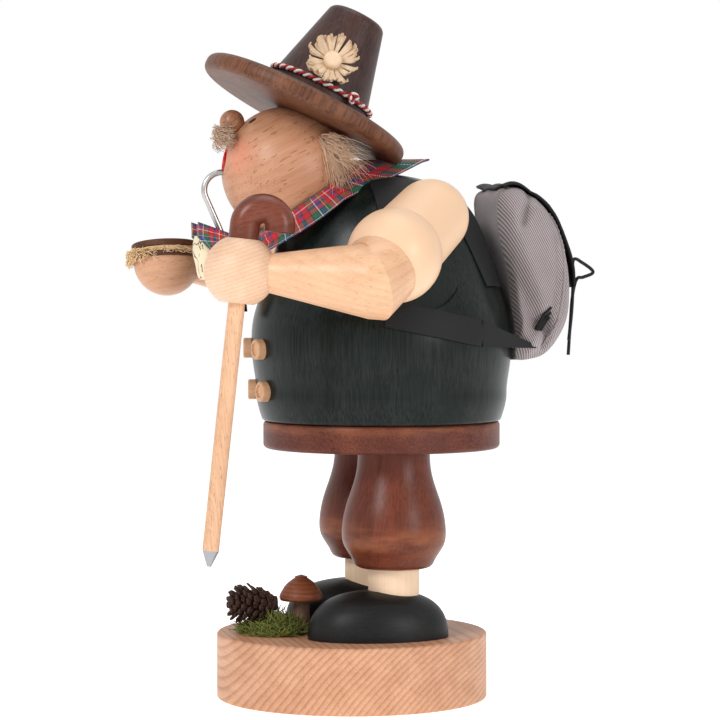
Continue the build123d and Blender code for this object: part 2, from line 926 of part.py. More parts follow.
def make_pipe_lid():
    foot = pipe_bowl_foot() + Vector(0, 0, pipe_bowl_height)
    lid = Cone(pipe_bowl_radius * pipe_bowl_mouth_share, pipe_lid_knob_radius, pipe_lid_height,
               align=on_foot)
    knob = Location((0, 0, pipe_lid_height)) * Sphere(pipe_lid_knob_radius)
    return Location(foot) * (lid + knob)


def make_pipe_tassel():
    top = pipe_points()[4] - Vector(0, 0, pipe_sump_below)
    return rod(top, top - Vector(0, 0, pipe_tassel_length), pipe_sump_tip_radius, pipe_tassel_foot_radius)


# Arms

def arm_sides():
    """Side sign, drop and outward angle of the left and the right upper arm."""
    return ((1, left_arm_drop, left_arm_out), (-1, right_arm_drop, right_arm_out))


def shoulder_center(side):
    return Vector(side * shoulder_side, body_back + shoulder_back, torso_top - shoulder_under_top)


def upper_direction(side, drop, out):
    fall = radians(drop)
    yaw = radians(out)
    return Vector(side * cos(fall) * sin(yaw), -cos(fall) * cos(yaw), -sin(fall))


def fore_direction(side):
    rise = radians(forearm_rise)
    yaw = radians(forearm_inward)
    return Vector(-side * cos(rise) * sin(yaw), -cos(rise) * cos(yaw), sin(rise))


def elbow_center(side, drop, out):
    return shoulder_center(side) + upper_direction(side, drop, out) * upper_arm_length


def hand_center(side, drop, out):
    return elbow_center(side, drop, out) + fore_direction(side) * forearm_length


def make_arm_peg(side, drop, out, gap=0.0):
    """Dowel from the shoulder ball into the torso's wall."""
    normal = shoulder_plane().z_dir
    inward = Vector(-side * normal.X, 0, -normal.Z)
    start = shoulder_center(side)
    return rod(start - inward * gap, start + inward * (arm_peg_length + gap), arm_peg_radius + gap)


def make_elbow_peg(side, drop, out, gap=0.0):
    """Dowel across the mitre, square to it."""
    across = (fore_direction(side) + upper_direction(side, drop, out)).normalized()
    middle = elbow_center(side, drop, out)
    reach = elbow_peg_half + gap
    return rod(middle - across * reach, middle + across * reach, elbow_peg_radius + gap)


def make_wrist_peg(side, drop, out, gap=0.0):
    direction = fore_direction(side)
    joint = hand_center(side, drop, out) - direction * hand_wrist_flat
    if side < 0:
        joint -= palm_normal(side) * wrist_peg_drop
    reach = wrist_peg_length / 2 + gap
    return rod(joint - direction * reach, joint + direction * reach, wrist_peg_radius + gap)


def mitre_half(side, drop, out, keep_upper):
    """Big block on one side of the elbow's mitre plane."""
    normal = (upper_direction(side, drop, out) + fore_direction(side)).normalized()
    if keep_upper:
        normal = normal * -1
    plane = Plane(origin=elbow_center(side, drop, out), z_dir=normal)
    return plane * Box(4 * overrun, 4 * overrun, 2 * overrun, align=on_foot)


def cuff_reach():
    """Distance from the cuff's middle to the edge of its opening."""
    return sqrt(cuff_radius ** 2 - (elbow_radius + glue_gap) ** 2)


def make_sleeve(side, drop, out):
    """Lacquered upper arm: ball shoulder, tapered barrel and a round rolled cuff."""
    shoulder = shoulder_center(side)
    direction = upper_direction(side, drop, out)
    sleeve = sleeve_outside(side, drop, out, 0.0)
    opening = shoulder + direction * (cuff_middle + cuff_reach())
    floor = opening - direction * cuff_depth
    sleeve -= rod(floor, floor + direction * overrun, elbow_radius + glue_gap)
    sleeve -= make_torso_body(glue_gap) - shoulder_pad_space(side)
    sleeve -= shoulder_pad_back_space(side)
    sleeve -= make_arm_peg(side, drop, out, glue_gap)
    return sleeve.solids().sort_by(SortBy.VOLUME)[-1]


def sleeve_outside(side, drop, out, grow):
    """Sleeve without its bore, turned in one outline and moved out by grow."""
    ball = sleeve_shoulder_radius + grow
    neck = cuff_neck_radius + grow
    cuff = cuff_radius + grow
    mouth = elbow_radius + glue_gap + grow
    neck_rise = cuff_middle - sqrt(cuff ** 2 - neck ** 2)
    mouth_rise_end = cuff_middle + sqrt(cuff ** 2 - mouth ** 2)
    half_turn = radians(45)
    with BuildPart() as sleeve:
        with BuildSketch(Plane.XZ):
            with BuildLine():
                ThreePointArc((0, -ball), (ball * sin(half_turn), -ball * cos(half_turn)), (ball, 0))
                Line((ball, 0), (neck, neck_rise))
                ThreePointArc((neck, neck_rise), (cuff, cuff_middle), (mouth, mouth_rise_end))
                Line((mouth, mouth_rise_end), (0, mouth_rise_end))
                Line((0, mouth_rise_end), (0, -ball))
            make_face()
        revolve(axis=Axis.Z)
    return Plane(origin=shoulder_center(side), z_dir=upper_direction(side, drop, out)) * sleeve.part


def shoulder_pad_space(side):
    pad = shoulder_plane() * Cylinder(shoulder_pad_radius - glue_gap, overrun,
                                      align=on_foot)
    if side < 0:
        return mirrored(pad)
    return pad


def shoulder_pad_back_space(side):
    back = shoulder_plane() * Cylinder(2 * shoulder_pad_radius, overrun, align=under_top)
    if side < 0:
        return mirrored(back)
    return back


def make_elbow(side, drop, out):
    direction = upper_direction(side, drop, out)
    floor = shoulder_center(side) + direction * (cuff_middle + cuff_reach() - cuff_depth)
    piece = rod(floor, floor + direction * overrun, elbow_radius)
    piece = piece & mitre_half(side, drop, out, True)
    return piece - make_elbow_peg(side, drop, out, glue_gap)


def make_forearm(side, drop, out):
    """Tapered forearm between the elbow's mitre and the wrist."""
    direction = fore_direction(side)
    elbow = elbow_center(side, drop, out)
    wrist = hand_center(side, drop, out) - direction * hand_wrist_flat
    piece = rod(elbow - direction * elbow_radius, elbow, elbow_radius)
    piece += rod(elbow, wrist, elbow_radius, wrist_radius)
    piece = piece & mitre_half(side, drop, out, False)
    piece -= sleeve_outside(side, drop, out, glue_gap)
    piece = piece.solids().sort_by(SortBy.VOLUME)[-1]
    if side < 0:
        piece -= make_roll_space()
    return piece - make_elbow_peg(side, drop, out, glue_gap) - make_wrist_peg(side, drop, out, glue_gap)


def make_hand(side, drop, out):
    """Ball hand with a flat at the wrist and flats above and below."""
    center = hand_center(side, drop, out)
    direction = fore_direction(side)
    ball = Location(center) * Sphere(hand_radius)
    wrist = Plane(origin=center - direction * hand_wrist_flat, z_dir=direction * -1)
    ball -= wrist * Cylinder(overrun, overrun, align=on_foot)
    up = palm_normal(side)
    upper_flat = hand_flat if side > 0 else palm_flat
    ball -= Plane(origin=center + up * upper_flat, z_dir=up) * Cylinder(
        overrun, overrun, align=on_foot)
    ball -= make_wrist_peg(side, drop, out, glue_gap)
    if side > 0:
        ball -= Plane(origin=center - up * hand_flat, z_dir=up * -1) * Cylinder(
            overrun, overrun, align=on_foot)
        ball -= rod(center - up * overrun, center + up * overrun, stick_radius + glue_gap)
    if side < 0:
        ball -= make_roll_peg(glue_gap)
    return ball


def palm_normal(side):
    """Upward direction of the hand: the stick's line, or the tilted palm's."""
    if side > 0:
        lean = radians(stick_lean)
        return Vector(0, sin(lean), cos(lean))
    tilt = radians(roll_tilt)
    return Vector(-sin(tilt), 0, cos(tilt))


# Walking stick

def make_stick():
    center = hand_center(1, left_arm_drop, left_arm_out)
    up = palm_normal(1)
    bottom = center - up * stick_below
    shaft = rod(bottom, center + up * (hand_flat - glue_gap), stick_radius)
    shaft -= rod(center + up * (hand_flat - crook_tenon_length - glue_gap), center + up * overrun,
                 stick_pin_radius + glue_gap)
    socket_top = bottom + up * (stick_tip_socket + glue_gap)
    shaft -= rod(bottom - up * overrun, socket_top, stick_pin_radius + glue_gap)
    return shaft


def make_stick_tip():
    center = hand_center(1, left_arm_drop, left_arm_out)
    up = palm_normal(1)
    bottom = center - up * stick_below
    tip = rod(bottom, bottom - up * stick_tip_length, stick_radius, stick_tip_radius)
    return tip + rod(bottom, bottom + up * stick_tip_socket, stick_pin_radius)


def make_crook():
    """Half of a turned ring, one foot on the hand and the other free."""
    center = hand_center(1, left_arm_drop, left_arm_out)
    up = palm_normal(1)
    foot = center + up * hand_flat
    turn = radians(crook_turn)
    across = Vector(sin(turn), cos(turn), 0)
    across = (across - up * across.dot(up)).normalized()
    spring = foot + up * crook_foot_length
    middle = spring + across * crook_ring_radius
    ring = Plane(origin=middle, z_dir=across.cross(up), x_dir=across) * Torus(crook_ring_radius, crook_radius)
    half = Plane(origin=middle, z_dir=up) * Box(2 * overrun, 2 * overrun, overrun,
                                                align=on_foot)
    free = middle + across * crook_ring_radius
    crook = ring & half
    crook += rod(foot, spring, crook_radius) + rod(free - up * crook_free_length, free, crook_radius)
    pin = rod(foot - up * crook_tenon_length, foot + up * crook_tenon_length, stick_pin_radius)
    return crook + pin


# Filled roll on the right palm

def roll_frame():
    center = hand_center(-1, right_arm_drop, right_arm_out)
    up = palm_normal(-1)
    return center + up * palm_flat, up


def make_roll_peg(gap=0.0):
    foot, up = roll_frame()
    peg_top = foot + up * (roll_bottom_height / 2 + gap)
    return rod(foot - up * (roll_peg_length + gap), peg_top, roll_peg_radius + gap)


def make_roll_space():
    """Space above the palm's level that the roll takes, with its gap."""
    foot, up = roll_frame()
    return rod(foot - up * glue_gap, foot + up * overrun, roll_radius + glue_gap)


def roll_disc(start, radius, height):
    foot, up = roll_frame()
    disc = Cylinder(radius, height, align=on_foot)
    disc = fillet(disc.edges(), roll_round)
    return Plane(origin=foot + up * start, z_dir=up) * disc


def make_roll_bottom():
    return roll_disc(0, roll_radius, roll_bottom_height) - make_roll_peg(glue_gap)


def make_roll_filling():
    foot, up = roll_frame()
    plane = Plane(origin=foot + up * roll_bottom_height, z_dir=up)
    return plane * Cylinder(roll_radius - roll_filling_inset, roll_filling_height,
                            align=on_foot)


def make_roll_top():
    return roll_disc(roll_bottom_height + roll_filling_height, roll_radius, roll_top_height)


# Rucksack

def pack_outline(grow):
    """Side outline of the bag, as shares of its depth and height."""
    depth_shares = (0.12, 0.15, 0.26, 0.30, 0.30, 0.46, 0.72, 0.94, 1.0, 0.97, 0.82, 0.54, 0.27)
    height_shares = (0.92, 0.68, 0.44, 0.20, 0.04, 0.0, 0.04, 0.20, 0.38, 0.58, 0.80, 0.96, 1.0)
    height = pack_high - pack_low
    points = []
    for depth_share, height_share in zip(depth_shares, height_shares):
        outward = grow * (2 * depth_share - 1)
        upward = grow * (2 * height_share - 1)
        points.append((pack_front + pack_depth * depth_share + outward,
                       pack_low + height * height_share + upward))
    return points


def pack_section(grow, side, scale):
    """Side outline of the bag at one distance from its middle, drawn in by scale."""
    points = pack_outline(grow)
    middle = Vector(pack_front + pack_depth / 2, (pack_low + pack_high) / 2)
    drawn = [(middle.X + (depth - middle.X) * scale, middle.Y + (height - middle.Y) * scale)
             for depth, height in points]
    plane = Plane(origin=(side, body_back, belt_top), z_dir=(1, 0, 0), x_dir=(0, 1, 0))
    return plane * make_face(Spline(*drawn, periodic=True))


def make_pack_block(grow):
    """Cushion-like bag that draws in towards both sides."""
    side_shares = (-1.0, -0.86, -0.45, 0.0, 0.45, 0.86, 1.0)
    scale_shares = (0.68, 0.90, 0.99, 1.0, 0.99, 0.90, 0.68)
    sections = []
    for side_share, scale_share in zip(side_shares, scale_shares):
        sections.append(pack_section(grow, (pack_half_width + grow) * side_share, scale_share))
    return loft(sections)


def make_pack():
    return make_pack_block(0) - make_torso_body(cloth_gap + strap_thickness + cloth_gap)


def make_pack_flap():
    """Leather cover over the top and down the back of the bag."""
    shell = make_pack_block(pack_flap_thickness + cloth_gap) - make_pack_block(cloth_gap)
    middle = belt_top + (pack_low + pack_high) / 2
    low = Vector(-pack_flap_half_width, body_back + pack_front + pack_flap_start, middle)
    high = Vector(pack_flap_half_width, body_back + pack_front + pack_depth + overrun,
                  belt_top + pack_high + overrun)
    return (shell & block(low, high)).solids().sort_by(SortBy.VOLUME)[-1]


def strap_shell():
    """Thin skin over the barrel that the straps are cut from."""
    return make_torso_body(cloth_gap + strap_thickness) - make_torso_body(cloth_gap)


def make_strap(side, drop, out):
    """Shoulder strap: over the shoulder, down the flank, then straight to the bag's lower corner."""
    half = strap_width / 2
    far = 3 * overrun
    back = body_back + pack_front + strap_under_bag
    front = body_back + strap_front
    over = block(Vector(strap_side - half, front - half, belt_top + strap_low_front + strap_width),
                 Vector(strap_side + half, back, belt_top + far))
    down = block(Vector(strap_side - half, front - half, belt_top + strap_low_front),
                 Vector(far, front + half, belt_top + far))
    low_start = Vector(0, front - half, belt_top + strap_low_front)
    low_end = Vector(0, body_back + strap_leave_back, belt_top + strap_low_back)
    run = low_end - low_start
    lean = Plane(origin=low_start, x_dir=run, z_dir=Vector(0, -run.Z, run.Y))
    rear = lean * Box(run.length, 2 * far, strap_width, align=(Align.MIN, Align.CENTER, Align.CENTER))
    rear = rear & block(Vector(0, -far, 0), Vector(far, far, 2 * far))
    strap = strap_shell() & (over + down + rear)
    strap = strap.solids().sort_by(SortBy.VOLUME)[-1]
    strap += make_strap_tail()
    shoulder = shoulder_center(1)
    arm_radius = cuff_neck_radius + cloth_gap
    strap -= Location(shoulder) * Sphere(arm_radius)
    strap -= rod(shoulder, shoulder + upper_direction(1, drop, out) * upper_arm_length, arm_radius)
    strap -= make_torso_body(cloth_gap)
    strap -= make_pack_space()
    strap -= make_scarf_tip(cloth_gap)
    strap = strap.solids().sort_by(SortBy.VOLUME)[-1]
    if side < 0:
        return mirrored(strap)
    return strap


def make_strap_tail():
    """Free stretch of the strap between the barrel's flank and the bag's lower corner."""
    half = strap_width / 2
    height = belt_top + strap_low_back
    skin = outline_radius(strap_low_back) + cloth_gap
    leave_side = sqrt(skin ** 2 - strap_leave_back ** 2)
    start = Vector(leave_side, body_back + strap_leave_back, height)
    end = Vector(strap_end_side, body_back + strap_end_back, height)
    run = end - start
    outward = Vector(run.Y, -run.X, 0).normalized()
    plane = Plane(origin=start + outward * (strap_thickness / 2), z_dir=outward, x_dir=run)
    tilt = Vector(0, strap_leave_back - strap_front + half, strap_low_back - strap_low_front)
    drop = run.length * tilt.Z / tilt.Y
    corners = ((-strap_thickness, half), (run.length, half + drop - strap_end_narrow),
               (run.length, drop), (-strap_thickness, -half))
    return extrude(plane * make_face(Polyline(*corners, close=True)), amount=strap_thickness / 2, both=True)


def make_pack_space():
    return make_pack_block(cloth_gap)


def make_lace():
    """Thin round lace with one bow and two hanging ends."""
    points = [Vector(side, body_back + back, belt_top + rise)
              for side, back, rise in zip(lace_sides, lace_backs, lace_rises)]
    with BuildPart() as lace:
        with BuildLine() as route:
            Spline(*points)
        with BuildSketch(Plane(origin=route.line @ 0, z_dir=route.line % 0)):
            Circle(lace_radius)
        sweep(path=route.line)
    print_least_gap(route.line)
    return lace.part


def print_least_gap(line):
    """Say how close the lace comes to itself, measured on points along it."""
    count = 160
    skip = 12
    points = [line @ (index / count) for index in range(count + 1)]
    gaps = [(points[first] - points[second]).length - 2 * lace_radius
            for first in range(count + 1) for second in range(first + skip, count + 1)]
    print("least gap of the lace to itself:", round(min(gaps), 2), "mm")


# Forest floor

def make_moss():
    with BuildPart() as moss:
        with BuildSketch(Plane.XY.offset(base_height)):
            Ellipse(moss_half_side, moss_half_depth)
        extrude(amount=moss_height)
        fillet(moss.edges().sort_by(Axis.Z)[-1], moss_round)
    clump = Location((moss_side, -moss_forward, 0)) * moss.part
    clump -= make_mushroom_stem(cloth_gap)
    clump -= make_fir_cone_space()
    for shoe in (make_shoe_space(), mirrored(make_shoe_space())):
        clump -= shoe
    return clump.solids().sort_by(SortBy.VOLUME)[-1]


def make_shoe_space():
    with BuildPart() as space:
        with BuildSketch():
            Ellipse(shoe_half_width + cloth_gap, shoe_half_length + cloth_gap)
        extrude(amount=shoe_height)
    return Location((shoe_side, body_back - shoe_forward, base_height)) * space.part


def mushroom_foot():
    return Vector(mushroom_side, -mushroom_forward, base_height)


def make_mushroom_stem(gap=0.0):
    foot = mushroom_foot()
    top = foot + Vector(0, 0, mushroom_height - mushroom_cap_height + mushroom_stem_in_cap)
    if gap > 0:
        return rod(foot - Vector(0, 0, mushroom_root), top, mushroom_stem_radius + gap)
    return rod(foot, top, mushroom_stem_radius, mushroom_stem_top_radius)


def make_mushroom_cap():
    radius = mushroom_cap_radius
    height = mushroom_cap_height
    radius_shares = (0.93, 1.0, 0.88, 0.58, 0.27, 0.0)
    height_shares = (0.0, 0.13, 0.38, 0.70, 0.91, 1.0)
    outline = [(radius * radius_share, height * height_share)
               for radius_share, height_share in zip(radius_shares, height_shares)]
    cap = turned_curve(outline, (1, 0.6), (-1, 0.3))
    cap = Location(mushroom_foot() + Vector(0, 0, mushroom_height - mushroom_cap_height)) * cap
    return cap - make_mushroom_stem(glue_gap) - make_fir_cone_space()


def fir_cone_frame():
    center = Vector(moss_side, -fir_cone_forward, base_height + fir_cone_rise)
    return Plane(origin=center, z_dir=(0, 1, 0), x_dir=(1, 0, 0))


def make_fir_cone():
    """Dry cone on its side, its rows of scales as turned steps."""
    half = fir_cone_length / 2
    outline = [(0, -half)]
    for row in range(fir_cone_rows):
        share = (2 * row + 1) / fir_cone_rows - 1
        swell = sqrt(1 - fir_cone_taper_share * share ** 2)
        low = -half + fir_cone_length * row / fir_cone_rows
        high = -half + fir_cone_length * (row + 1) / fir_cone_rows
        outline.append((fir_cone_radius * swell * fir_cone_core_share, low))
        outline.append((fir_cone_radius * swell, high))
    outline.append((0, half))
    return fir_cone_frame() * turned(outline)


def make_fir_cone_space():
    length = fir_cone_length + 2 * cloth_gap
    return fir_cone_frame() * Cylinder(fir_cone_radius + cloth_gap, length)


def main():
    os.makedirs("parts", exist_ok=True)
    leg_rod = make_leg_rod(0.0)
    leg_hole = make_leg_rod(glue_gap)
    holes = leg_hole + mirrored(leg_hole)
    save(make_base() - holes, "base_plate")
    save(Compound(children=[leg_rod, mirrored(leg_rod)]), "leg_rods")
    sock = make_sock()
    sock_seat = Location((leg_side, body_back, base_height + shoe_height - sock_seat_depth)) * Cylinder(
        sock_radius + glue_gap, overrun, align=on_foot)
    pairs = (("shoe", make_shoe() - sock_seat - leg_hole), ("stocking", sock - leg_hole),
             ("trouser_leg", make_trouser() - leg_hole))
    for name, piece in pairs:
        save(piece, name + "_left")
        save(mirrored(piece), name + "_right")
    tack_holes = make_tacks(glue_gap)
    save(make_belt() - holes - tack_holes, "belt_disc")
    save(make_tray(), "incense_tray")
    save(Compound(children=make_tacks(0.0)), "tray_tacks")
    save(make_incense_cone(), "incense_cone")
    save(make_torso(), "torso_shell")
    save(Compound(children=make_buttons()), "waistcoat_buttons")
    save(make_neck_tube(), "neck_tube")
    save(make_head(), "head_ball")
    save(make_nose(), "nose")
    save(make_moustache(), "moustache")
    save(make_hair(), "hair_fringe")
    save(make_brim(), "hat_brim")
    save(make_crown(), "hat_crown")
    save(make_hat_peg(), "hat_peg")
    save(make_hat_cord(), "hat_cord")
    save(make_flower(), "shaving_flower")
    save(make_scarf_collar(), "scarf_collar")
    save(make_scarf_tip(), "scarf_tip")
    save(make_scarf_knot(), "scarf_knot")
    save(Compound(children=make_scarf_ends()), "scarf_ends")
    save(make_pipe_stem(), "pipe_stem")
    save(make_pipe_sump(), "pipe_sump")
    save(make_pipe_bowl(), "pipe_bowl")
    save(make_pipe_lid(), "pipe_lid")
    save(make_pipe_tassel(), "pipe_tassel")
    for side, drop, out in arm_sides():
        hand = "left" if side > 0 else "right"
        save(make_sleeve(side, drop, out), "sleeve_" + hand)
        save(make_elbow(side, drop, out), "elbow_" + hand)
        save(make_forearm(side, drop, out), "forearm_" + hand)
        save(make_hand(side, drop, out), "hand_" + hand)
        pegs = [make_arm_peg(side, drop, out), make_elbow_peg(side, drop, out),
                make_wrist_peg(side, drop, out)]
        save(Compound(children=pegs), "arm_pegs_" + hand)
        save(make_strap(side, drop, out), "strap_" + hand)
    save(make_stick(), "stick_shaft")
    save(make_stick_tip(), "stick_tip")
    save(make_crook(), "stick_crook")
    save(make_roll_peg(), "roll_peg")
    save(make_roll_bottom(), "roll_bottom")
    save(make_roll_filling(), "roll_filling")
    save(make_roll_top(), "roll_top")
    save(make_pack(), "rucksack_bag")
    save(make_pack_flap(), "rucksack_flap")
    save(make_lace(), "pack_lace")
    save(make_moss(), "moss")
    save(make_mushroom_stem(), "mushroom_stem")
    save(make_mushroom_cap(), "mushroom_cap")
    save(make_fir_cone(), "fir_cone")


main()
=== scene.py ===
"""Looks of the incense smoker: materials, fibres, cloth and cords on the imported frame. Metres, +Z up."""
import math
import random

import bpy
import numpy as np
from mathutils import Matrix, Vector


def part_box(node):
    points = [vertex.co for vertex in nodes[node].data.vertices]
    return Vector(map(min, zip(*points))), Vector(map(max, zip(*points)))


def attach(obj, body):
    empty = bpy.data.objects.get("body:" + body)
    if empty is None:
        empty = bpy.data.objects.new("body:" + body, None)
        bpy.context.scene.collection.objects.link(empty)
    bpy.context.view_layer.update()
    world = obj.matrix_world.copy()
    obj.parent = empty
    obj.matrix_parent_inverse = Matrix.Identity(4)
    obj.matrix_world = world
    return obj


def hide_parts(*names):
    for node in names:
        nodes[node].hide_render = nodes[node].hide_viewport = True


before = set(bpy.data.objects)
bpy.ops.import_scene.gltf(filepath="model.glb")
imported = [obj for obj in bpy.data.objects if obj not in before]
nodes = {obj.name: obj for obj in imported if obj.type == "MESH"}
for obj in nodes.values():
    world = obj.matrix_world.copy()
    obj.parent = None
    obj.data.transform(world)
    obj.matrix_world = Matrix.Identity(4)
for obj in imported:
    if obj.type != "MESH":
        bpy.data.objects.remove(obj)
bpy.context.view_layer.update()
rng = random.Random(7)
MM = 0.001
METRE = 1000
BACK = 10.7
BELT_TOP = 96.6
TORSO_TOP = 182.6
TORSO_HEIGHT = 86.0
TORSO_RADIUS = 45.5
HEAD = Vector((0, -23.3, 183.2))
HEAD_R = 22.8
HAT_BACK = -16.9
HAT_RISE = 204.6
HAT_TILT = math.radians(27)
HAT_MID = Vector((0, HAT_BACK, HAT_RISE))
BRIM_THICK = 6.3
CROWN_BACK = 2.4
BRIM_DROP = 3.9
CROWN_LOW_R = 19.2
CROWN_TOP_R = 9.9
CROWN_HEIGHT = 34.8
CORD_RISE = 5.6
CORD_TWIST_R = 0.48
NECK_TILT = math.radians(36)
KNOT = Vector((0, BACK - 47.5, BELT_TOP + 61.0))
BAG_FRONT = 34
BAG_DEPTH = 30.2
BAG_LOW = 20.8
BAG_HEIGHT = 60.4
BAG_MID = Vector((0, 49.1, 51.0))
FLAP_HALF = 16.5
ROLL_TILT = math.radians(10.6)
SHOE_SIDES = (19.6, -19.6)
SHOE_BACK = 4.9
SHOE_HALF = (16.3, 24.9)
BASE_TOP = 22.8
PHOTO_FOCAL = 2785.7
PHOTO_HALF_WIDTH = 360
PHOTO_SHIFT = 21.5
PHOTO_DROP = 94
PHOTO_DISTANCE = 0.975
PHOTO_TURN = math.radians(76.5)
SENSOR = 36


# Node helpers

class Paint:
    """A material's node tree with short calls to add nodes."""

    def __init__(self, name, rough=0.45, metal=0.0, coat=0.0, coat_rough=0.2, gloss=0.3):
        self.mat = bpy.data.materials.new(name)
        self.mat.use_nodes = True
        self.tree = self.mat.node_tree
        self.out = self.tree.nodes["Principled BSDF"]
        self.out.inputs["Roughness"].default_value = rough
        self.out.inputs["Metallic"].default_value = metal
        self.out.inputs["Coat Weight"].default_value = coat
        self.out.inputs["Specular IOR Level"].default_value = gloss
        self.out.inputs["Coat Roughness"].default_value = coat_rough

    def link(self, a, b):
        self.tree.links.new(a, b)

    def put(self, socket, value):
        if isinstance(value, bpy.types.NodeSocket):
            self.link(value, socket)
        else:
            socket.default_value = value

    def coords(self, kind="Object", scale=(1, 1, 1), turn=(0, 0, 0), move=(0, 0, 0)):
        source = self.tree.nodes.new("ShaderNodeTexCoord").outputs[kind]
        shift = self.tree.nodes.new("ShaderNodeMapping")
        self.link(source, shift.inputs["Vector"])
        shift.inputs["Location"].default_value = move
        shift.inputs["Rotation"].default_value = [math.radians(a) for a in turn]
        stretch = self.tree.nodes.new("ShaderNodeMapping")
        self.link(shift.outputs["Vector"], stretch.inputs["Vector"])
        stretch.inputs["Scale"].default_value = scale
        return stretch.outputs["Vector"]

    def noise(self, vector, scale=1.0, detail=3.0, rough=0.55, distortion=0.0):
        n = self.tree.nodes.new("ShaderNodeTexNoise")
        self.link(vector, n.inputs["Vector"])
        n.inputs["Scale"].default_value = scale
        n.inputs["Detail"].default_value = detail
        n.inputs["Roughness"].default_value = rough
        n.inputs["Distortion"].default_value = distortion
        return n.outputs["Fac"]

    def math(self, kind, a, b=0.0, c=0.0):
        n = self.tree.nodes.new("ShaderNodeMath")
        n.operation = kind
        self.put(n.inputs[0], a)
        self.put(n.inputs[1], b)
        self.put(n.inputs[2], c)
        return n.outputs[0]

    def step(self, value, low, high):
        n = self.tree.nodes.new("ShaderNodeMapRange")
        n.interpolation_type = "SMOOTHSTEP"
        self.put(n.inputs["Value"], value)
        n.inputs["From Min"].default_value = low
        n.inputs["From Max"].default_value = high
        return n.outputs["Result"]

    def ramp(self, value, stops, hard=False):
        n = self.tree.nodes.new("ShaderNodeValToRGB")
        n.color_ramp.interpolation = "CONSTANT" if hard else "LINEAR"
        while len(n.color_ramp.elements) < len(stops):
            n.color_ramp.elements.new(1.0)
        for element, (place, color) in zip(n.color_ramp.elements, stops):
            element.position = place
            element.color = (*color, 1)
        self.put(n.inputs["Fac"], value)
        return n.outputs["Color"]

    def mix(self, fac, a, b, kind="MIX"):
        n = self.tree.nodes.new("ShaderNodeMix")
        n.data_type = "RGBA"
        n.blend_type = kind
        n.clamp_factor = True
        self.put(n.inputs[0], fac)
        for socket, value in ((n.inputs[6], a), (n.inputs[7], b)):
            self.put(socket, (*value, 1) if isinstance(value, tuple) else value)
        return n.outputs[2]

    def color(self, value):
        self.put(self.out.inputs["Base Color"], (*value, 1) if isinstance(value, tuple) else value)
        return self

    def bump(self, height, distance, strength=1.0):
        n = self.tree.nodes.new("ShaderNodeBump")
        n.inputs["Strength"].default_value = strength
        n.inputs["Distance"].default_value = distance
        self.link(height, n.inputs["Height"])
        self.link(n.outputs["Normal"], self.out.inputs["Normal"])
        return self

    def split(self, vector):
        n = self.tree.nodes.new("ShaderNodeSeparateXYZ")
        self.link(vector, n.inputs[0])
        return n.outputs

    def spot(self, center, radii, soft):
        """1 inside an ellipsoid, 0 outside it, soft at its edge."""
        c = [v * MM for v in center]
        v = self.coords(move=[-x for x in c], scale=[METRE / r for r in radii])
        n = self.tree.nodes.new("ShaderNodeVectorMath")
        n.operation = "LENGTH"
        self.link(v, n.inputs[0])
        return self.step(n.outputs["Value"], 1 + soft, 1 - soft)


def wood(name, pale, dark, turn=(0, 0, 0), rings=0.0, heart=(0, 0, 0), flecks=0.0, fibre=0.35,
         rough=0.42, coat=0.15, fibre_size=1.0, ring_gap=2.4, deep=None, dash=1.0, wobble=2.6, gloss=0.3):
    """Lacquered wood whose grain runs along local Z after the turn."""
    p = Paint(name, rough, 0, coat, 0.25, gloss)
    k = fibre_size
    long = p.noise(p.coords(turn=turn, scale=(1400 / k, 1400 / k, 38 / k)), 1, 3, 0.6)
    broad = p.noise(p.coords(turn=turn, scale=(160, 160, 12)), 1, 2, 0.5)
    fac = p.math("MULTIPLY", p.step(long, 0.35, 0.68), fibre)
    fac = p.math("ADD", fac, p.math("MULTIPLY", p.step(broad, 0.3, 0.7), 0.35))
    if rings:
        drift = p.noise(p.coords(turn=turn, scale=(26, 26, 9)), 1, 2, 0.5)
        x, y, _ = p.split(p.coords(turn=turn, move=[-h * MM for h in heart]))
        r = p.math("SQRT", p.math("ADD", p.math("MULTIPLY", x, x), p.math("MULTIPLY", y, y)))
        r = p.math("ADD", p.math("MULTIPLY", r, METRE / ring_gap), p.math("MULTIPLY", drift, wobble))
        wave = p.math("FRACT", r)
        line = p.math("MULTIPLY", p.step(wave, 0.35, 0.97), p.step(wave, 1.0, 0.96))
        fac = p.math("ADD", fac, p.math("MULTIPLY", line, rings))
    base = p.mix(fac, pale, dark)
    if deep:
        blot = p.noise(p.coords(scale=(60, 60, 60)), 1, 3, 0.6)
        base = p.mix(p.math("MULTIPLY", p.step(blot, 0.42, 0.72), 0.6), base, deep)
    if flecks:
        spots = p.noise(p.coords(turn=turn, scale=(1500 * dash, 1500 * dash, 260 * dash)), 1, 1, 0.4)
        base = p.mix(p.math("MULTIPLY", p.step(spots, 0.63, 0.70), flecks), base,
                     tuple(c * 0.50 for c in dark))
    p.color(base)
    p.bump(long, 0.00003, 0.35)
    return p


def plain(name, color, rough=0.5, metal=0.0, coat=0.0, grain=0.12, scale=900, gloss=0.3):
    p = Paint(name, rough, metal, coat, gloss=gloss)
    n = p.noise(p.coords(scale=(scale, scale, scale)), 1, 3, 0.6)
    p.color(p.mix(p.math("MULTIPLY", n, grain), color, tuple(c * 0.5 for c in color)))
    p.bump(n, 0.00003, 0.3)
    return p


# Materials

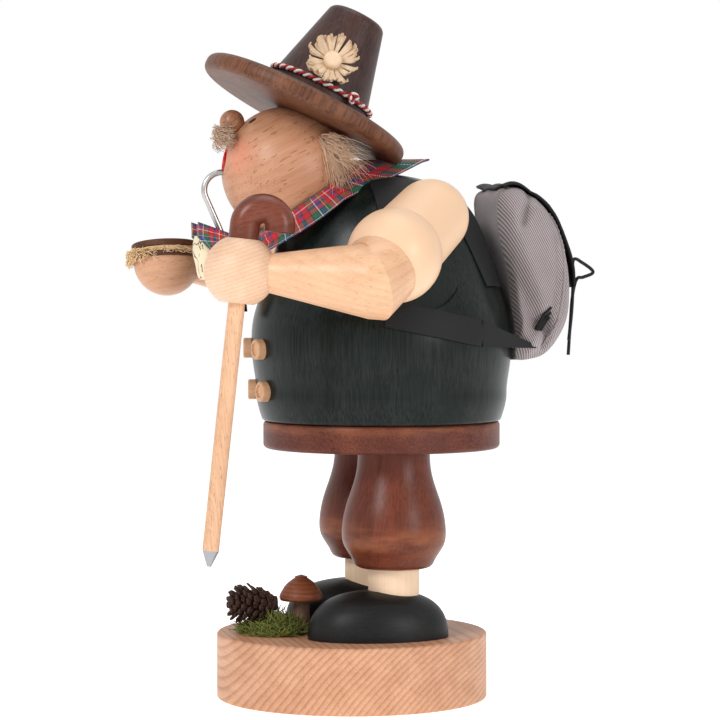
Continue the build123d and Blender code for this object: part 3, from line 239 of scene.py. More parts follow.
base_wood = wood("base beech", (0.64, 0.355, 0.215), (0.42, 0.185, 0.095), turn=(0, 90, 0), rings=0.6,
                 heart=(-60, 70, 0), flecks=0.22, fibre=0.22, ring_gap=1.9, rough=0.5, coat=0.05,
                 wobble=1.2)
head_wood = wood("head beech", (0.56, 0.285, 0.165), (0.40, 0.175, 0.092), turn=(62, 0, 0), rings=0.22,
                 heart=(0, 20, 0), flecks=0.55, fibre=0.28, ring_gap=3.4, rough=0.42, coat=0.10,
                 dash=0.7, wobble=1.6)
pale_wood = wood("pale beech", (0.75, 0.455, 0.275), (0.60, 0.325, 0.18), turn=(-86, 0, 18), flecks=0.25,
                 rings=0.26, heart=(10, 60, 0), ring_gap=2.6, fibre=0.25, rough=0.42, coat=0.12,
                 dash=1.1, wobble=2.2)
hand_wood = wood("hand beech", (0.77, 0.52, 0.36), (0.58, 0.34, 0.205), turn=(0, 90, 0), rings=0.30,
                 heart=(-148.9, 49.3, 0), ring_gap=1.25, flecks=0.2, fibre=0.15, rough=0.48, coat=0.08,
                 dash=1.5, wobble=1.3)
far_hand_wood = wood("far hand beech", (0.62, 0.345, 0.205), (0.46, 0.22, 0.12), turn=(80, 0, 0), rings=0.2,
                     heart=(0, 40, 0), flecks=0.4, fibre=0.25, rough=0.45, coat=0.1, dash=1.2)
stick_wood = wood("stick beech", (0.72, 0.44, 0.27), (0.52, 0.27, 0.145), turn=(-6, 0, 0), flecks=0.45,
                  fibre=0.45, rough=0.5, coat=0.05, dash=1.6)
button_wood = wood("button beech", (0.60, 0.35, 0.20), (0.40, 0.20, 0.10), turn=(90, 0, 0), flecks=0.3,
                   fibre=0.3, rough=0.5, coat=0.05, dash=1.6)
green_wood = wood("green black stain", (0.013, 0.018, 0.016), (0.0012, 0.003, 0.0025), fibre=0.85,
                  fibre_size=0.8, rough=0.28, coat=0.0, deep=(0.002, 0.007, 0.005), gloss=0.17)
red_wood = wood("red brown stain", (0.150, 0.036, 0.018), (0.050, 0.011, 0.006), turn=(8, 0, 0),
                fibre=0.45, rough=0.36, coat=0.03, deep=(0.075, 0.016, 0.009), gloss=0.2)
belt_wood = wood("belt stain", (0.150, 0.040, 0.022), (0.045, 0.010, 0.006), turn=(0, 82, 90),
                 fibre=0.55, rough=0.42, coat=0.0, deep=(0.065, 0.015, 0.009), gloss=0.2)
crook_wood = wood("crook stain", (0.185, 0.046, 0.024), (0.070, 0.015, 0.008), turn=(80, 0, 0),
                  fibre=0.45, rough=0.32, coat=0.08, gloss=0.25)
hat_wood = wood("dark brown stain", (0.062, 0.026, 0.020), (0.012, 0.005, 0.004), turn=(27, 0, 0),
                fibre=0.6, rough=0.42, coat=0.0, gloss=0.25)
cream = plain("cream lacquer", (0.76, 0.505, 0.325), 0.40, coat=0.12, grain=0.03, scale=250)
lime_wood = wood("pale lime wood", (0.82, 0.61, 0.43), (0.70, 0.47, 0.30), fibre=0.25, rough=0.6, coat=0)
black_wood = wood("black stain", (0.0075, 0.0072, 0.0070), (0.0018, 0.0018, 0.002), turn=(90, 0, 0),
                  fibre=0.8, rough=0.44, coat=0.0, gloss=0.22)
nose_wood = wood("nose beech", (0.40, 0.185, 0.095), (0.25, 0.10, 0.05), turn=(50, 0, 0), flecks=0.5,
                 rings=0.3, heart=(0, -40, 190), ring_gap=1.8, rough=0.35, coat=0.15)
steel = plain("steel tube", (0.44, 0.43, 0.43), 0.28, 1.0, grain=0.1)
tip_metal = plain("grey metal", (0.36, 0.37, 0.39), 0.45, 1.0, grain=0.2)
tray_metal = plain("tray metal", (0.6, 0.6, 0.61), 0.35, 1.0)
gloss_black = plain("black gloss", (0.008, 0.008, 0.009), 0.25, coat=0.4)
leather = plain("black leather", (0.0085, 0.0085, 0.0095), 0.58, grain=0.5, scale=1500, gloss=0.2)
crust = wood("crust stain", (0.120, 0.046, 0.023), (0.045, 0.016, 0.009), turn=(90, 0, 10), fibre=0.5,
             rough=0.5, coat=0.0, gloss=0.2)
mushroom_stem_wood = wood("mushroom stem wood", (0.23, 0.13, 0.085), (0.10, 0.05, 0.03), rough=0.7, coat=0)
mushroom_cap_wood = wood("mushroom cap wood", (0.25, 0.075, 0.030), (0.13, 0.034, 0.014),
                         turn=(90, 0, 0), rings=0.5, heart=(0, 60, 25), ring_gap=1.3,
                         rough=0.45, coat=0.03, gloss=0.2)
incense = plain("incense powder", (0.06, 0.035, 0.025), 0.9, grain=0.5)
straw = plain("straw", (0.88, 0.63, 0.36), 0.8, grain=0.5)
flax = plain("flax fibre", (0.84, 0.585, 0.40), 0.6, grain=0.45, scale=300)
grey_fibre = plain("grey fibre", (0.70, 0.49, 0.345), 0.65, grain=0.5, scale=300)
moss_green = plain("moss", (0.235, 0.265, 0.060), 0.85, grain=0.9, scale=260)
cone_brown = plain("cone scales", (0.050, 0.022, 0.014), 0.7, grain=0.6, scale=500)
shaving = plain("wood shaving", (0.82, 0.61, 0.42), 0.6, grain=0.4, scale=500)
thread_grey = plain("grey thread", (0.30, 0.27, 0.28), 0.7)
cord_red = plain("red cord", (0.42, 0.025, 0.030), 0.75, grain=0.4, scale=2500)
cord_white = plain("white cord", (0.78, 0.72, 0.66), 0.75, grain=0.3, scale=2500)


def brim_paint():
    """Dark stain that turns lighter and browner on the rim and below."""
    p = wood("brim stain", (0.185, 0.070, 0.034), (0.045, 0.016, 0.009), turn=(27, 0, 90), fibre=0.6,
             rough=0.45, coat=0.0, gloss=0.22)
    rim_color = p.out.inputs["Base Color"].links[0].from_socket
    vector = p.coords(move=[-v for v in HAT_MID * MM])
    n = p.tree.nodes.new("ShaderNodeVectorMath")
    n.operation = "DOT_PRODUCT"
    p.link(vector, n.inputs[0])
    n.inputs[1].default_value = (0, math.sin(HAT_TILT), math.cos(HAT_TILT))
    top = p.step(n.outputs["Value"], 0.0022, 0.0030)
    p.color(p.mix(top, rim_color, (0.036, 0.017, 0.014)))
    return p


def head_paint():
    """Beech with painted eyes, mouth and soft pink cheeks."""
    color = head_wood.out.inputs["Base Color"].links[0].from_socket
    p = head_wood
    for side in (1, -1):
        cheek = p.spot(HEAD + Vector((side * 10.6, -18.6, 5.0)), (6.0, 6.0, 6.0), 0.75)
        color = p.mix(p.math("MULTIPLY", cheek, 0.40), color, (0.78, 0.25, 0.17))
    red = p.spot(HEAD + Vector((0, -22.0, 4.0)), (3.4, 6, 4.9), 0.06)
    color = p.mix(red, color, (0.50, 0.008, 0.012))
    for side in (1, -1):
        eye = p.spot(HEAD + Vector((side * 6.0, -13.2, 17.2)), (1.2, 1.9, 1.25), 0.08)
        color = p.mix(eye, color, (0.004, 0.004, 0.005))
    p.color(color)
    return p


def tartan_paint():
    """Woven tartan read from the ribbon's own UV, in sett repeats."""
    p = Paint("tartan ribbon", 0.7)
    p.out.inputs["Sheen Weight"].default_value = 0.15
    u, v, _ = p.split(p.coords("UV"))
    red = (0.46, 0.010, 0.016)
    green = (0.010, 0.105, 0.060)
    blue = (0.018, 0.050, 0.17)
    black = (0.010, 0.010, 0.013)
    white = (0.66, 0.62, 0.56)
    yellow = (0.60, 0.42, 0.06)
    stops = [(0, red), (0.16, black), (0.19, green), (0.35, black), (0.375, white), (0.40, blue),
             (0.54, black), (0.56, yellow), (0.58, green), (0.66, red), (0.77, white), (0.795, red),
             (0.90, blue), (0.97, black)]
    warp = p.ramp(p.math("FRACT", u), stops, True)
    weft = p.ramp(p.math("FRACT", v), stops, True)
    twill = p.math("FRACT", p.math("ADD", p.math("MULTIPLY", u, 26), p.math("MULTIPLY", v, 26)))
    over = p.math("GREATER_THAN", twill, 0.5)
    cloth = p.mix(over, warp, weft)
    p.color(cloth)
    p.bump(twill, 0.00005, 0.5)
    return p


def twill_paint():
    """Grey-mauve cotton with a steep diagonal rib."""
    p = Paint("bag twill", 0.85)
    p.out.inputs["Sheen Weight"].default_value = 0.2
    u, v, _ = p.split(p.coords("UV"))
    rib = p.math("SINE", p.math("MULTIPLY", p.math("ADD", u, p.math("MULTIPLY", v, 0.55)), 6.2832 * 50))
    rib = p.math("MULTIPLY_ADD", rib, 0.5, 0.5)
    blot = p.noise(p.coords(scale=(120, 120, 120)), 1, 3, 0.6)
    base = p.mix(rib, (0.120, 0.094, 0.098), (0.50, 0.43, 0.43))
    base = p.mix(p.math("MULTIPLY", blot, 0.35), base, (0.16, 0.13, 0.13))
    p.color(base)
    p.bump(rib, 0.00025, 0.6)
    return p


def bowl_paint():
    p = Paint("cream bowl", 0.3, 0, 0.4)
    n = p.noise(p.coords(scale=(160, 160, 90)), 1, 2, 0.5, 1.5)
    line = p.math("MULTIPLY", p.step(n, 0.50, 0.515), p.step(n, 0.545, 0.53))
    p.color(p.mix(line, (0.74, 0.62, 0.42), (0.06, 0.045, 0.035)))
    return p


def painted_glow_band(paint, low, high, color, share):
    """Painted highlight: lighten a stain round the body between two heights, in patches, as a glow of
    light.
    """
    base = paint.out.inputs["Base Color"].links[0].from_socket
    _, _, z = paint.split(paint.coords(scale=(METRE, METRE, METRE)))
    middle = (low + high) / 2
    band = paint.math("MULTIPLY", paint.step(z, low, middle), paint.step(z, high, middle))
    patch = paint.step(paint.noise(paint.coords(scale=(70, 70, 260)), 1, 3, 0.6), 0.30, 0.75)
    paint.color(paint.mix(paint.math("MULTIPLY", paint.math("MULTIPLY", band, patch), share), base, color))


# Painted highlight: a lighter glowing band low on the trouser legs and along the belt's top edge.
painted_glow_band(red_wood, 47, 66, (0.36, 0.115, 0.042), 0.50)
painted_glow_band(belt_wood, 92, 98, (0.30, 0.10, 0.04), 0.5)
brim = brim_paint()
head_wood = head_paint()
tartan = tartan_paint()
twill = twill_paint()
bowl = bowl_paint()


# Finish of the CAD nodes

def dress(paint, slot, *names):
    for name in names:
        o = nodes[name]
        o.data.materials.clear()
        o.data.materials.append(paint.mat)


dress(base_wood, "natural_beech", "base_plate")
dress(head_wood, "natural_beech", "head_ball")
dress(pale_wood, "natural_beech", "forearm_left", "elbow_left", "elbow_right", "forearm_right",
      "neck_tube", "arm_pegs_left", "arm_pegs_right", "hat_peg", "roll_peg", "leg_rods")
dress(hand_wood, "natural_beech", "hand_left")
dress(far_hand_wood, "natural_beech", "hand_right")
dress(stick_wood, "natural_beech", "stick_shaft")
dress(button_wood, "natural_beech", "waistcoat_buttons")
dress(green_wood, "green_black_stain", "torso_shell")
dress(red_wood, "red_brown_stain", "trouser_leg_left", "trouser_leg_right")
dress(belt_wood, "red_brown_stain", "belt_disc")
dress(crook_wood, "red_brown_stain", "stick_crook")
dress(hat_wood, "dark_brown_stain", "hat_crown")
dress(brim, "dark_brown_stain", "hat_brim")
dress(cream, "cream_lacquer", "sleeve_left", "sleeve_right")
dress(lime_wood, "pale_lime_wood", "stocking_left", "stocking_right")
dress(black_wood, "black_lacquer", "shoe_left", "shoe_right")
dress(nose_wood, "nose_brown", "nose")
dress(steel, "pipe_steel", "pipe_stem")
dress(tip_metal, "tip_metal", "stick_tip", "tray_tacks")
dress(tray_metal, "tray_metal", "incense_tray")
dress(bowl, "cream_bowl", "pipe_bowl", "pipe_sump")
dress(gloss_black, "black_gloss", "pipe_lid", "pipe_tassel")
dress(leather, "black_leather", "strap_left", "strap_right")
dress(crust, "roll_crust", "roll_bottom", "roll_top")
dress(mushroom_stem_wood, "mushroom_stem_wood", "mushroom_stem")
dress(mushroom_cap_wood, "mushroom_cap_wood", "mushroom_cap")
dress(incense, "incense_powder", "incense_cone")


# Mesh helpers: every length in millimetres, made into metres at the end

def mesh_object(name, verts, faces, paint, uvs=None, smooth=True):
    name = name.replace(" ", "_")
    data = bpy.data.meshes.new(name)
    data.from_pydata([tuple(c * MM for c in v) for v in verts], [], faces)
    data.validate()
    data.polygons.foreach_set("use_smooth", [smooth] * len(data.polygons))
    if uvs is not None:
        layer = data.uv_layers.new(name="UVMap")
        for loop in data.loops:
            layer.data[loop.index].uv = uvs[loop.vertex_index]
    o = bpy.data.objects.new(name, data)
    bpy.context.scene.collection.objects.link(o)
    data.materials.append(paint.mat)
    return o


def frames_along(points):
    """Side vectors that turn as little as they can along a line of points."""
    pts = [Vector(p) for p in points]
    tangents = [(pts[min(i + 1, len(pts) - 1)] - pts[max(i - 1, 0)]).normalized() for i in range(len(pts))]
    side = tangents[0].orthogonal().normalized()
    sides = []
    for t in tangents:
        side = (side - t * side.dot(t)).normalized()
        sides.append((side, t.cross(side)))
    return pts, sides


def tubes(name, paths, radius, paint, sides=3, taper=0.35):
    """Many closed thin tubes in one mesh; taper is the end radius as a share of the first."""
    verts, faces = [], []
    for path in paths:
        pts, frames = frames_along(path)
        start = len(verts)
        for i, (p, (a, b)) in enumerate(zip(pts, frames)):
            r = radius * (1 - (1 - taper) * i / (len(pts) - 1))
            for k in range(sides):
                t = 2 * math.pi * k / sides
                verts.append(p + (a * math.cos(t) + b * math.sin(t)) * r)
        for i in range(len(pts) - 1):
            for k in range(sides):
                m = (k + 1) % sides
                row = start + i * sides
                faces.append((row + k, row + m, row + sides + m, row + sides + k))
        faces.append(tuple(start + k for k in reversed(range(sides))))
        last = start + (len(pts) - 1) * sides
        faces.append(tuple(last + k for k in range(sides)))
    return mesh_object(name, verts, faces, paint)


def sheet_mesh(name, grid, uv, thickness, paint):
    """Closed thin sheet from a grid of points, as thick as given."""
    rows, cols = len(grid), len(grid[0])
    mid = [[Vector(p) for p in row] for row in grid]
    front, back = [], []
    for i in range(rows):
        for j in range(cols):
            du = mid[min(i + 1, rows - 1)][j] - mid[max(i - 1, 0)][j]
            dv = mid[i][min(j + 1, cols - 1)] - mid[i][max(j - 1, 0)]
            n = du.cross(dv)
            n = n.normalized() if n.length > 1e-9 else Vector((0, 0, 1))
            front.append(mid[i][j] + n * thickness / 2)
            back.append(mid[i][j] - n * thickness / 2)
    verts = front + back
    uvs = [uv(i / (rows - 1), j / (cols - 1)) for i in range(rows) for j in range(cols)] * 2
    count = rows * cols
    faces = []
    for i in range(rows - 1):
        for j in range(cols - 1):
            a, b, c, d = i * cols + j, (i + 1) * cols + j, (i + 1) * cols + j + 1, i * cols + j + 1
            faces.append((a, b, c, d))
            faces.append((d + count, c + count, b + count, a + count))
    first_row = list(range(cols))
    last_column = [i * cols + cols - 1 for i in range(1, rows)]
    last_row = [(rows - 1) * cols + j for j in range(cols - 2, -1, -1)]
    first_column = [i * cols for i in range(rows - 2, 0, -1)]
    edge = first_row + last_column + last_row + first_column
    for a, b in zip(edge, edge[1:] + edge[:1]):
        faces.append((a, b, b + count, a + count))
    return mesh_object(name, verts, faces, paint, uvs)


def between(a, b, c, d, f):
    """Catmull-Rom point at share f of the way from b to c."""
    return 0.5 * ((2 * b) + (c - a) * f + (2 * a - 5 * b + 4 * c - d) * f ** 2
                  + (3 * b - a - 3 * c + d) * f ** 3)


def smooth_line(points, count):
    """Catmull-Rom line through the points."""
    pts = [Vector(p) for p in points]
    pts = [pts[0] * 2 - pts[1]] + pts + [pts[-1] * 2 - pts[-2]]
    out = []
    spans = len(pts) - 3
    for k in range(count):
        t = k / (count - 1) * spans
        i = min(int(t), spans - 1)
        out.append(between(*pts[i:i + 4], t - i))
    return out


# Lace of the rucksack: the only free cord

lace_sides = (15.0, 14.5, 13.5, 12.5, 10.5, 9.0, 10.0, 11.2, 9.5, 8.5, 8.0)
lace_backs = (63.8, 65.0, 65.8, 66.2, 70.2, 74.6, 70.7, 67.8, 66.8, 66.4, 65.8)
lace_rises = (28.0, 38.0, 48.0, 56.0, 55.0, 51.8, 50.0, 49.2, 43.0, 34.0, 22.6)
lace_points = [(s, BACK + b, BELT_TOP + r) for s, b, r in zip(lace_sides, lace_backs, lace_rises)]
lace_line = smooth_line(lace_points, 90)
lace = tubes("pack lace", [lace_line], 0.6, leather, sides=10, taper=1.0)
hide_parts("pack_lace")
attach(lace, "figure")


# Hat: twisted cord, knot and shaving flower

HAT_X = Vector((1, 0, 0))
HAT_Z = Vector((0, math.sin(HAT_TILT), math.cos(HAT_TILT)))
HAT_Y = HAT_Z.cross(HAT_X)
HAT_FOOT = HAT_MID - HAT_Z * (BRIM_THICK / 2) + HAT_Y * CROWN_BACK


def hat_point(x, y, z):
    return HAT_FOOT + HAT_X * x + HAT_Y * y + HAT_Z * (z + BRIM_THICK)


def crown_r(rise):
    return CROWN_LOW_R + (CROWN_TOP_R - CROWN_LOW_R) * rise / CROWN_HEIGHT


cord_ring = crown_r(CORD_RISE) + 1.05
for phase, paint, label in ((0, cord_red, "red"), (math.pi, cord_white, "white")):
    path = []
    turns, steps = 30, 720
    for k in range(steps + 1):
        a = 2 * math.pi * k / steps
        t = turns * a + phase
        r = cord_ring + CORD_TWIST_R * math.cos(t)
        path.append(hat_point(r * math.cos(a), r * math.sin(a), CORD_RISE + CORD_TWIST_R * math.sin(t)))
    strand = tubes("hat cord " + label, [path], 0.52, paint, sides=6, taper=1.0)
    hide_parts("hat_cord")
    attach(strand, "figure")
for phase, paint, label in ((0, cord_red, "red"), (math.pi, cord_white, "white")):
    a0 = math.radians(23)
    middle = hat_point((cord_ring + 1.2) * math.cos(a0), (cord_ring + 1.2) * math.sin(a0), CORD_RISE)
    out = (HAT_X * math.cos(a0) + HAT_Y * math.sin(a0)).normalized()
    along = HAT_Z.cross(out).normalized()
    path = []
    for k in range(90):
        t = 2 * math.pi * k / 89
        q = 3 * t + phase
        path.append(middle + along * (1.5 * math.cos(t) + 0.35 * math.cos(q))
                    + HAT_Z * (1.35 * math.sin(t) + 0.35 * math.sin(q))
                    + out * (0.6 * math.sin(2 * t) + 0.3))
    knot = tubes("hat knot " + label, [path], 0.5, paint, sides=6, taper=1.0)
    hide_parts("hat_cord")
    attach(knot, "figure")

turn = math.radians(-13.5)
slope = math.atan2(CROWN_LOW_R - CROWN_TOP_R, CROWN_HEIGHT)
rise = 13.6
radial = HAT_X * math.cos(turn) + HAT_Y * math.sin(turn)
flower_z = (radial * math.cos(slope) + HAT_Z * math.sin(slope)).normalized()
flower_x = HAT_Z.cross(radial).normalized()
flower_y = flower_z.cross(flower_x)
flower_c = hat_point(0, 0, rise) + radial * crown_r(rise)


def flower_point(r, a, h):
    return flower_c + flower_x * (r * math.cos(a)) + flower_y * (r * math.sin(a)) + flower_z * h


petals = []
for n in range(16):
    base_a = 2 * math.pi * (n + 0.4 * rng.random()) / 16
    layer = n % 2
    parts = 2 + (n % 3 > 0)
    for m in range(parts):
        reach = 7.9 + 1.5 * rng.random() - 0.8 * layer
        swing = (m - (parts - 1) / 2) * 0.17 + 0.08 * (rng.random() - 0.5)
        lift = 1.4 + 1.2 * rng.random() + 0.7 * layer
        roll = rng.uniform(0.5, 1.0)
        twist = rng.uniform(-0.7, 0.7)
        half0 = rng.uniform(0.60, 0.95)
        grid = []
        for i in range(12):
            s = i / 11
            r = 2.4 + (reach - 2.4) * math.sin(s * math.pi * 0.60) / math.sin(math.pi * 0.60)
            h = 0.7 + lift * s + roll * 2.0 * max(0.0, s - 0.45) ** 1.3 * 3.0
            a = base_a + swing * s
            swell = 0.62 + 0.5 * math.sin(math.pi * min(1, s * 1.15))
            half = half0 * swell * (1 - 0.75 * max(0, s - 0.85) / 0.15)
            sideways = flower_x * -math.sin(a) + flower_y * math.cos(a)
            tilt_side = (sideways * math.cos(twist * s) + flower_z * math.sin(twist * s)).normalized()
            c = flower_point(r, a, h)
            grid.append([c + tilt_side * (j * half) + flower_z * (-0.3 * (1 - abs(j))) for j in (-1, 0, 1)])
        petals.append(grid)
for n, grid in enumerate(petals):
    o = sheet_mesh(f"petal_{n}", grid, lambda s, t: (s, t), 0.22, shaving)
    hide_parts("shaving_flower")
    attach(o, "figure")
verts, faces = [], []
profile = [(0.0, 0.2), (2.6, 0.2), (3.1, 0.8), (3.2, 2.6), (2.8, 3.5), (1.9, 3.8), (0.25, 3.7)]
for r, h in profile:
    for k in range(28):
        verts.append(flower_point(max(r, 0.02), 2 * math.pi * k / 28, h))
for i in range(len(profile) - 1):
    for k in range(28):
        m = (k + 1) % 28
        faces.append((i * 28 + k, i * 28 + m, (i + 1) * 28 + m, (i + 1) * 28 + k))
faces.append(tuple(reversed(range(28))))
faces.append(tuple(range((len(profile) - 1) * 28, len(profile) * 28)))
heart = mesh_object("flower_heart", verts, faces, shaving)
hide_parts("shaving_flower")
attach(heart, "figure")


# Hair and moustache

def brim_under(p):
    """Height of the brim's underside over a point."""
    return HAT_RISE - BRIM_DROP + (p.y - HAT_BACK) * -math.tan(HAT_TILT)


strands = []
for n in range(900):
    side = rng.choice((-1, 1))
    a = math.radians(rng.uniform(24, 90) if n % 5 else rng.uniform(20, 60))
    reach = Vector((side * math.cos(a), math.sin(a), 0))
    up0 = 0.70 - 0.40 * max(0, math.sin(a)) + rng.uniform(-0.30, 0.08)
    length = rng.uniform(0.50, 1.15)
    drift = rng.uniform(-0.10, 0.34)
    puff = rng.uniform(0.3, 5.6)
    swirl = Vector((side * rng.uniform(-0.3, 1.6), rng.uniform(-1.0, 3.4), rng.uniform(-1.4, 1.2)))
    path = []
    for i in range(9):
        s = i / 8
        v = Vector((reach.x, reach.y + drift * s, up0 - length * s)).normalized()
        wave = math.sin(5 * s + n) * 0.6 * s
        path.append(HEAD + v * (HEAD_R + puff * s ** 1.4) + swirl * s * s
                    + Vector((wave, wave * 0.6, wave * 0.5)))
    low_path = min(p.z for p in path)
    if all(p.z < brim_under(p) - 0.3 for p in path) and low_path > 173 and all(
            p.z > TORSO_TOP - 9 + (p.y + 8) * 0.55 for p in path if p.y > -14):
        strands.append(path)
for n in range(260):
    side = rng.choice((-1, 1))
    root = HEAD + Vector((side * rng.uniform(16, 20), 8.5 + rng.uniform(0, 6), 9 + rng.uniform(-5, 4)))
    end = root + Vector((side * rng.uniform(0, 3.0), rng.uniform(3, 13), rng.uniform(-9, 0.5)))
    mid = (root + end) / 2 + Vector((side * 1.8, 0, rng.uniform(0, 1.8)))
    path = smooth_line([root, mid, end], 7)
    if all(p.z < brim_under(p) - 0.3 for p in path):
        strands.append(path)
hair = tubes("hair", strands, 0.15, flax)
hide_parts("hair_fringe")
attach(hair, "figure")

strands = []
for n in range(520):
    side = rng.choice((-1, 1))
    root = HEAD + Vector((side * rng.uniform(0, 2.5), -21.0 + rng.uniform(-0.8, 0.4),
                          12.4 + rng.uniform(-2.4, 2.4)))
    reach = rng.uniform(4.5, 10.0)
    end = root + Vector((side * reach, reach * 0.22 - rng.uniform(0, 3.0), rng.uniform(-4.2, 1.6)))
    mid = (root + end) / 2 + Vector((0, -rng.uniform(1.0, 3.6), rng.uniform(-0.6, 1.8)))
    path = []
    for p in smooth_line([root, mid, end], 8):
        d = p - HEAD
        if d.length < 22.6:
            p = HEAD + d.normalized() * 22.6
        path.append(p)
    strands.append(path)
moustache = tubes("moustache fibres", strands, 0.12, grey_fibre)
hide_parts("moustache")
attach(moustache, "figure")


# Neckerchief

AXIS = Vector((0, math.sin(NECK_TILT), -math.cos(NECK_TILT)))
FRONT = Vector((0, -math.cos(NECK_TILT), -math.sin(NECK_TILT)))


def neck_point(a, low, r):
    """a is 0 at the figure's left, 90 degrees at the front."""
    return HEAD + AXIS * low + (Vector((math.cos(a), 0, 0)) + FRONT * math.sin(a)) * r


def scarf_grid(cols, rows):
    tip = Vector((0, BACK + 17.3, TORSO_TOP + 5.3))
    grid = []
    for i in range(cols):
        a = math.radians(88 - 356 * i / (cols - 1))
        front = max(0.0, math.sin(a))
        inner = neck_point(a, 10.5, 20.6)
        outer = neck_point(a, 17.2, 26.0 + 0.8 * front)
        back_share = max(0.0, -math.sin(a))
        if back_share > 0.25:
            w = (back_share - 0.25) / 0.75
            edge = neck_point(math.radians(-14.5) if math.cos(a) > 0 else math.radians(194.5), 17.2, 26.0)
            outer = edge.lerp(tip, w)
        row = []
        for j in range(rows):
            t = j / (rows - 1)
            p = inner.lerp(outer, t)
            n = (outer - inner).cross(Vector((-math.sin(a), 0, 0)) + FRONT * math.cos(a)).normalized()
            crease = 1.7 * front * math.sin(11 * t + 3.4 * a) + 0.35 * math.sin(7 * a + 4 * t)
            lift = 0.6 * math.sin(math.pi * t)
            row.append(p - n * (crease * 0.5 + lift * 0.4) * (1 if n.z < 0 else -1))
        grid.append(row)
    return grid


collar_grid = scarf_grid(120, 9)
collar = sheet_mesh("scarf_cloth", collar_grid, lambda s, t: (s * 10.5, t * 0.8 + 0.62), 0.5, tartan)
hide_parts("scarf_collar", "scarf_tip")
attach(collar, "figure")

grid = []
for i in range(28):
    a = 2 * math.pi * i / 27
    row = []
    for j in range(9):
        s = j / 8 * 2 - 1
        r = 3.9 * (1 - 0.28 * s * s) + 0.35 * math.sin(3 * a + 2 * s)
        row.append(KNOT + Vector((s * 5.2, r * math.cos(a), r * math.sin(a))))
    grid.append(row)
knot = sheet_mesh("scarf_knot_cloth", grid, lambda s, t: (s * 2.4, t * 1.1), 0.4, tartan)
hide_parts("scarf_knot")
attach(knot, "figure")
for side in (1, -1):
    root = KNOT + Vector((side * 6.2, -4.2, 0))
    grid = []
    for i in range(14):
        s = i / 13
        row = []
        for j in range(7):
            t = j / 6
            y = -14.5 * s
            top = 3.0 + 5.0 * s
            low = -3.0 + 3.5 * s - 3.0 * s * s
            if s > 0.6:
                y = -14.5 * (s if t > 0.5 else 0.6 + (s - 0.6) * (0.1 + 0.9 * t * 2))
            z = low + (top - low) * t
            x = side * (0.9 * math.sin(3.1 * s) + 0.5 * math.sin(5 * t + 2 * s))
            row.append(root + Vector((x, y, z)))
        grid.append(row)
    name = "scarf_end_" + ("a" if side > 0 else "b")
    end = sheet_mesh(name, grid, lambda s, t: (s * 1.6, t), 0.45, tartan)
    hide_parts("scarf_ends")
    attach(end, "figure")


# Rucksack

def bag_side(count):
    depth_shares = (0.12, 0.15, 0.26, 0.30, 0.30, 0.46, 0.72, 0.94, 1.0, 0.97, 0.82, 0.54, 0.27)
    height_shares = (0.92, 0.68, 0.44, 0.20, 0.04, 0.0, 0.04, 0.20, 0.38, 0.58, 0.80, 0.96, 1.0)
    pts = [Vector((0, BAG_FRONT + BAG_DEPTH * d, BAG_LOW + BAG_HEIGHT * h))
           for d, h in zip(depth_shares, height_shares)]
    loop = pts[-2:] + pts + pts[:3]
    out = []
    for k in range(count):
        t = k / count * len(pts)
        i = int(t)
        out.append(between(*loop[i + 1:i + 5], t - i))
    return out


# Folds of the bag's side panels: points (back, rise), height of the fold and half its width
folds = (
    (((38.5, 79.0), (44.0, 78.5)), 1.5, 3.2),
    (((48.6, 78.0), (46.8, 73.0), (45.2, 68.5)), -1.9, 1.5),
    (((53.5, 71.5), (50.0, 73.5), (47.0, 76.5)), 1.0, 1.5),
    (((36.5, 72.0), (41.0, 56.0), (47.5, 39.0), (53.0, 32.5)), -1.5, 2.6),
    (((42.5, 71.0), (47.0, 56.0), (52.5, 41.5)), 1.1, 3.0),
    (((54.5, 36.5), (53.4, 26.0)), -1.9, 1.5),
    (((50.0, 30.5), (48.0, 24.5)), 1.1, 2.0),
    (((57.0, 64.0), (58.0, 52.0), (56.2, 40.0)), -0.9, 1.2),
    (((38.5, 52.0), (42.0, 38.0), (46.0, 28.0)), 0.8, 2.4),
)
seam_line = ((56.0, 72.0), (58.6, 66.9), (60.4, 55.1), (58.4, 37.5), (53.6, 26.0))


def line_gap(y, z, line):
    """Distance from a point to a line of points, in the bag's side plane."""
    best = 1e9
    for (ay, az), (by, bz) in zip(line, line[1:]):
        dy, dz = by - ay, bz - az
        t = max(0.0, min(1.0, ((y - ay) * dy + (z - az) * dz) / (dy * dy + dz * dz)))
        best = min(best, math.hypot(y - ay - t * dy, z - az - t * dz))
    return best


def fold_height(y, z):
    """How far the folds push the cloth out at a point of the side panel."""
    total = sum(high * math.exp(-(line_gap(y, z, line) / half) ** 2) for line, high, half in folds)
    return 1.6 * total - 0.5 * math.exp(-(line_gap(y, z, seam_line) / 0.8) ** 2)


def bag_point(q, share, side):
    """Point of the bag's outline drawn in towards its middle and pushed by folds."""
    p = BAG_MID + (q - BAG_MID) * share
    up = (p.z - BAG_LOW) / BAG_HEIGHT
    push = fold_height(p.y, p.z)
    high_wave = 0.7 * math.sin(side * 0.42 + 9 * up) * max(0, up - 0.25)
    wave = high_wave + 0.4 * math.sin(side * 0.9 + 1.3) * (1 - up)
    out = (p - BAG_MID).normalized() if share > 0.02 else Vector()
    edge = max(0.0, min(1.0, (share - 0.8) / 0.2))
    p = p + out * edge * (wave * min(1.0, abs(side) / 6 + 0.3) + 0.35 * push * min(1, abs(side) / 15))
    x = side + (push if side > 0 else -push) * min(1.0, max(0.0, abs(side) - 12) / 9)
    return Vector((x, BACK + p.y, BELT_TOP + p.z))


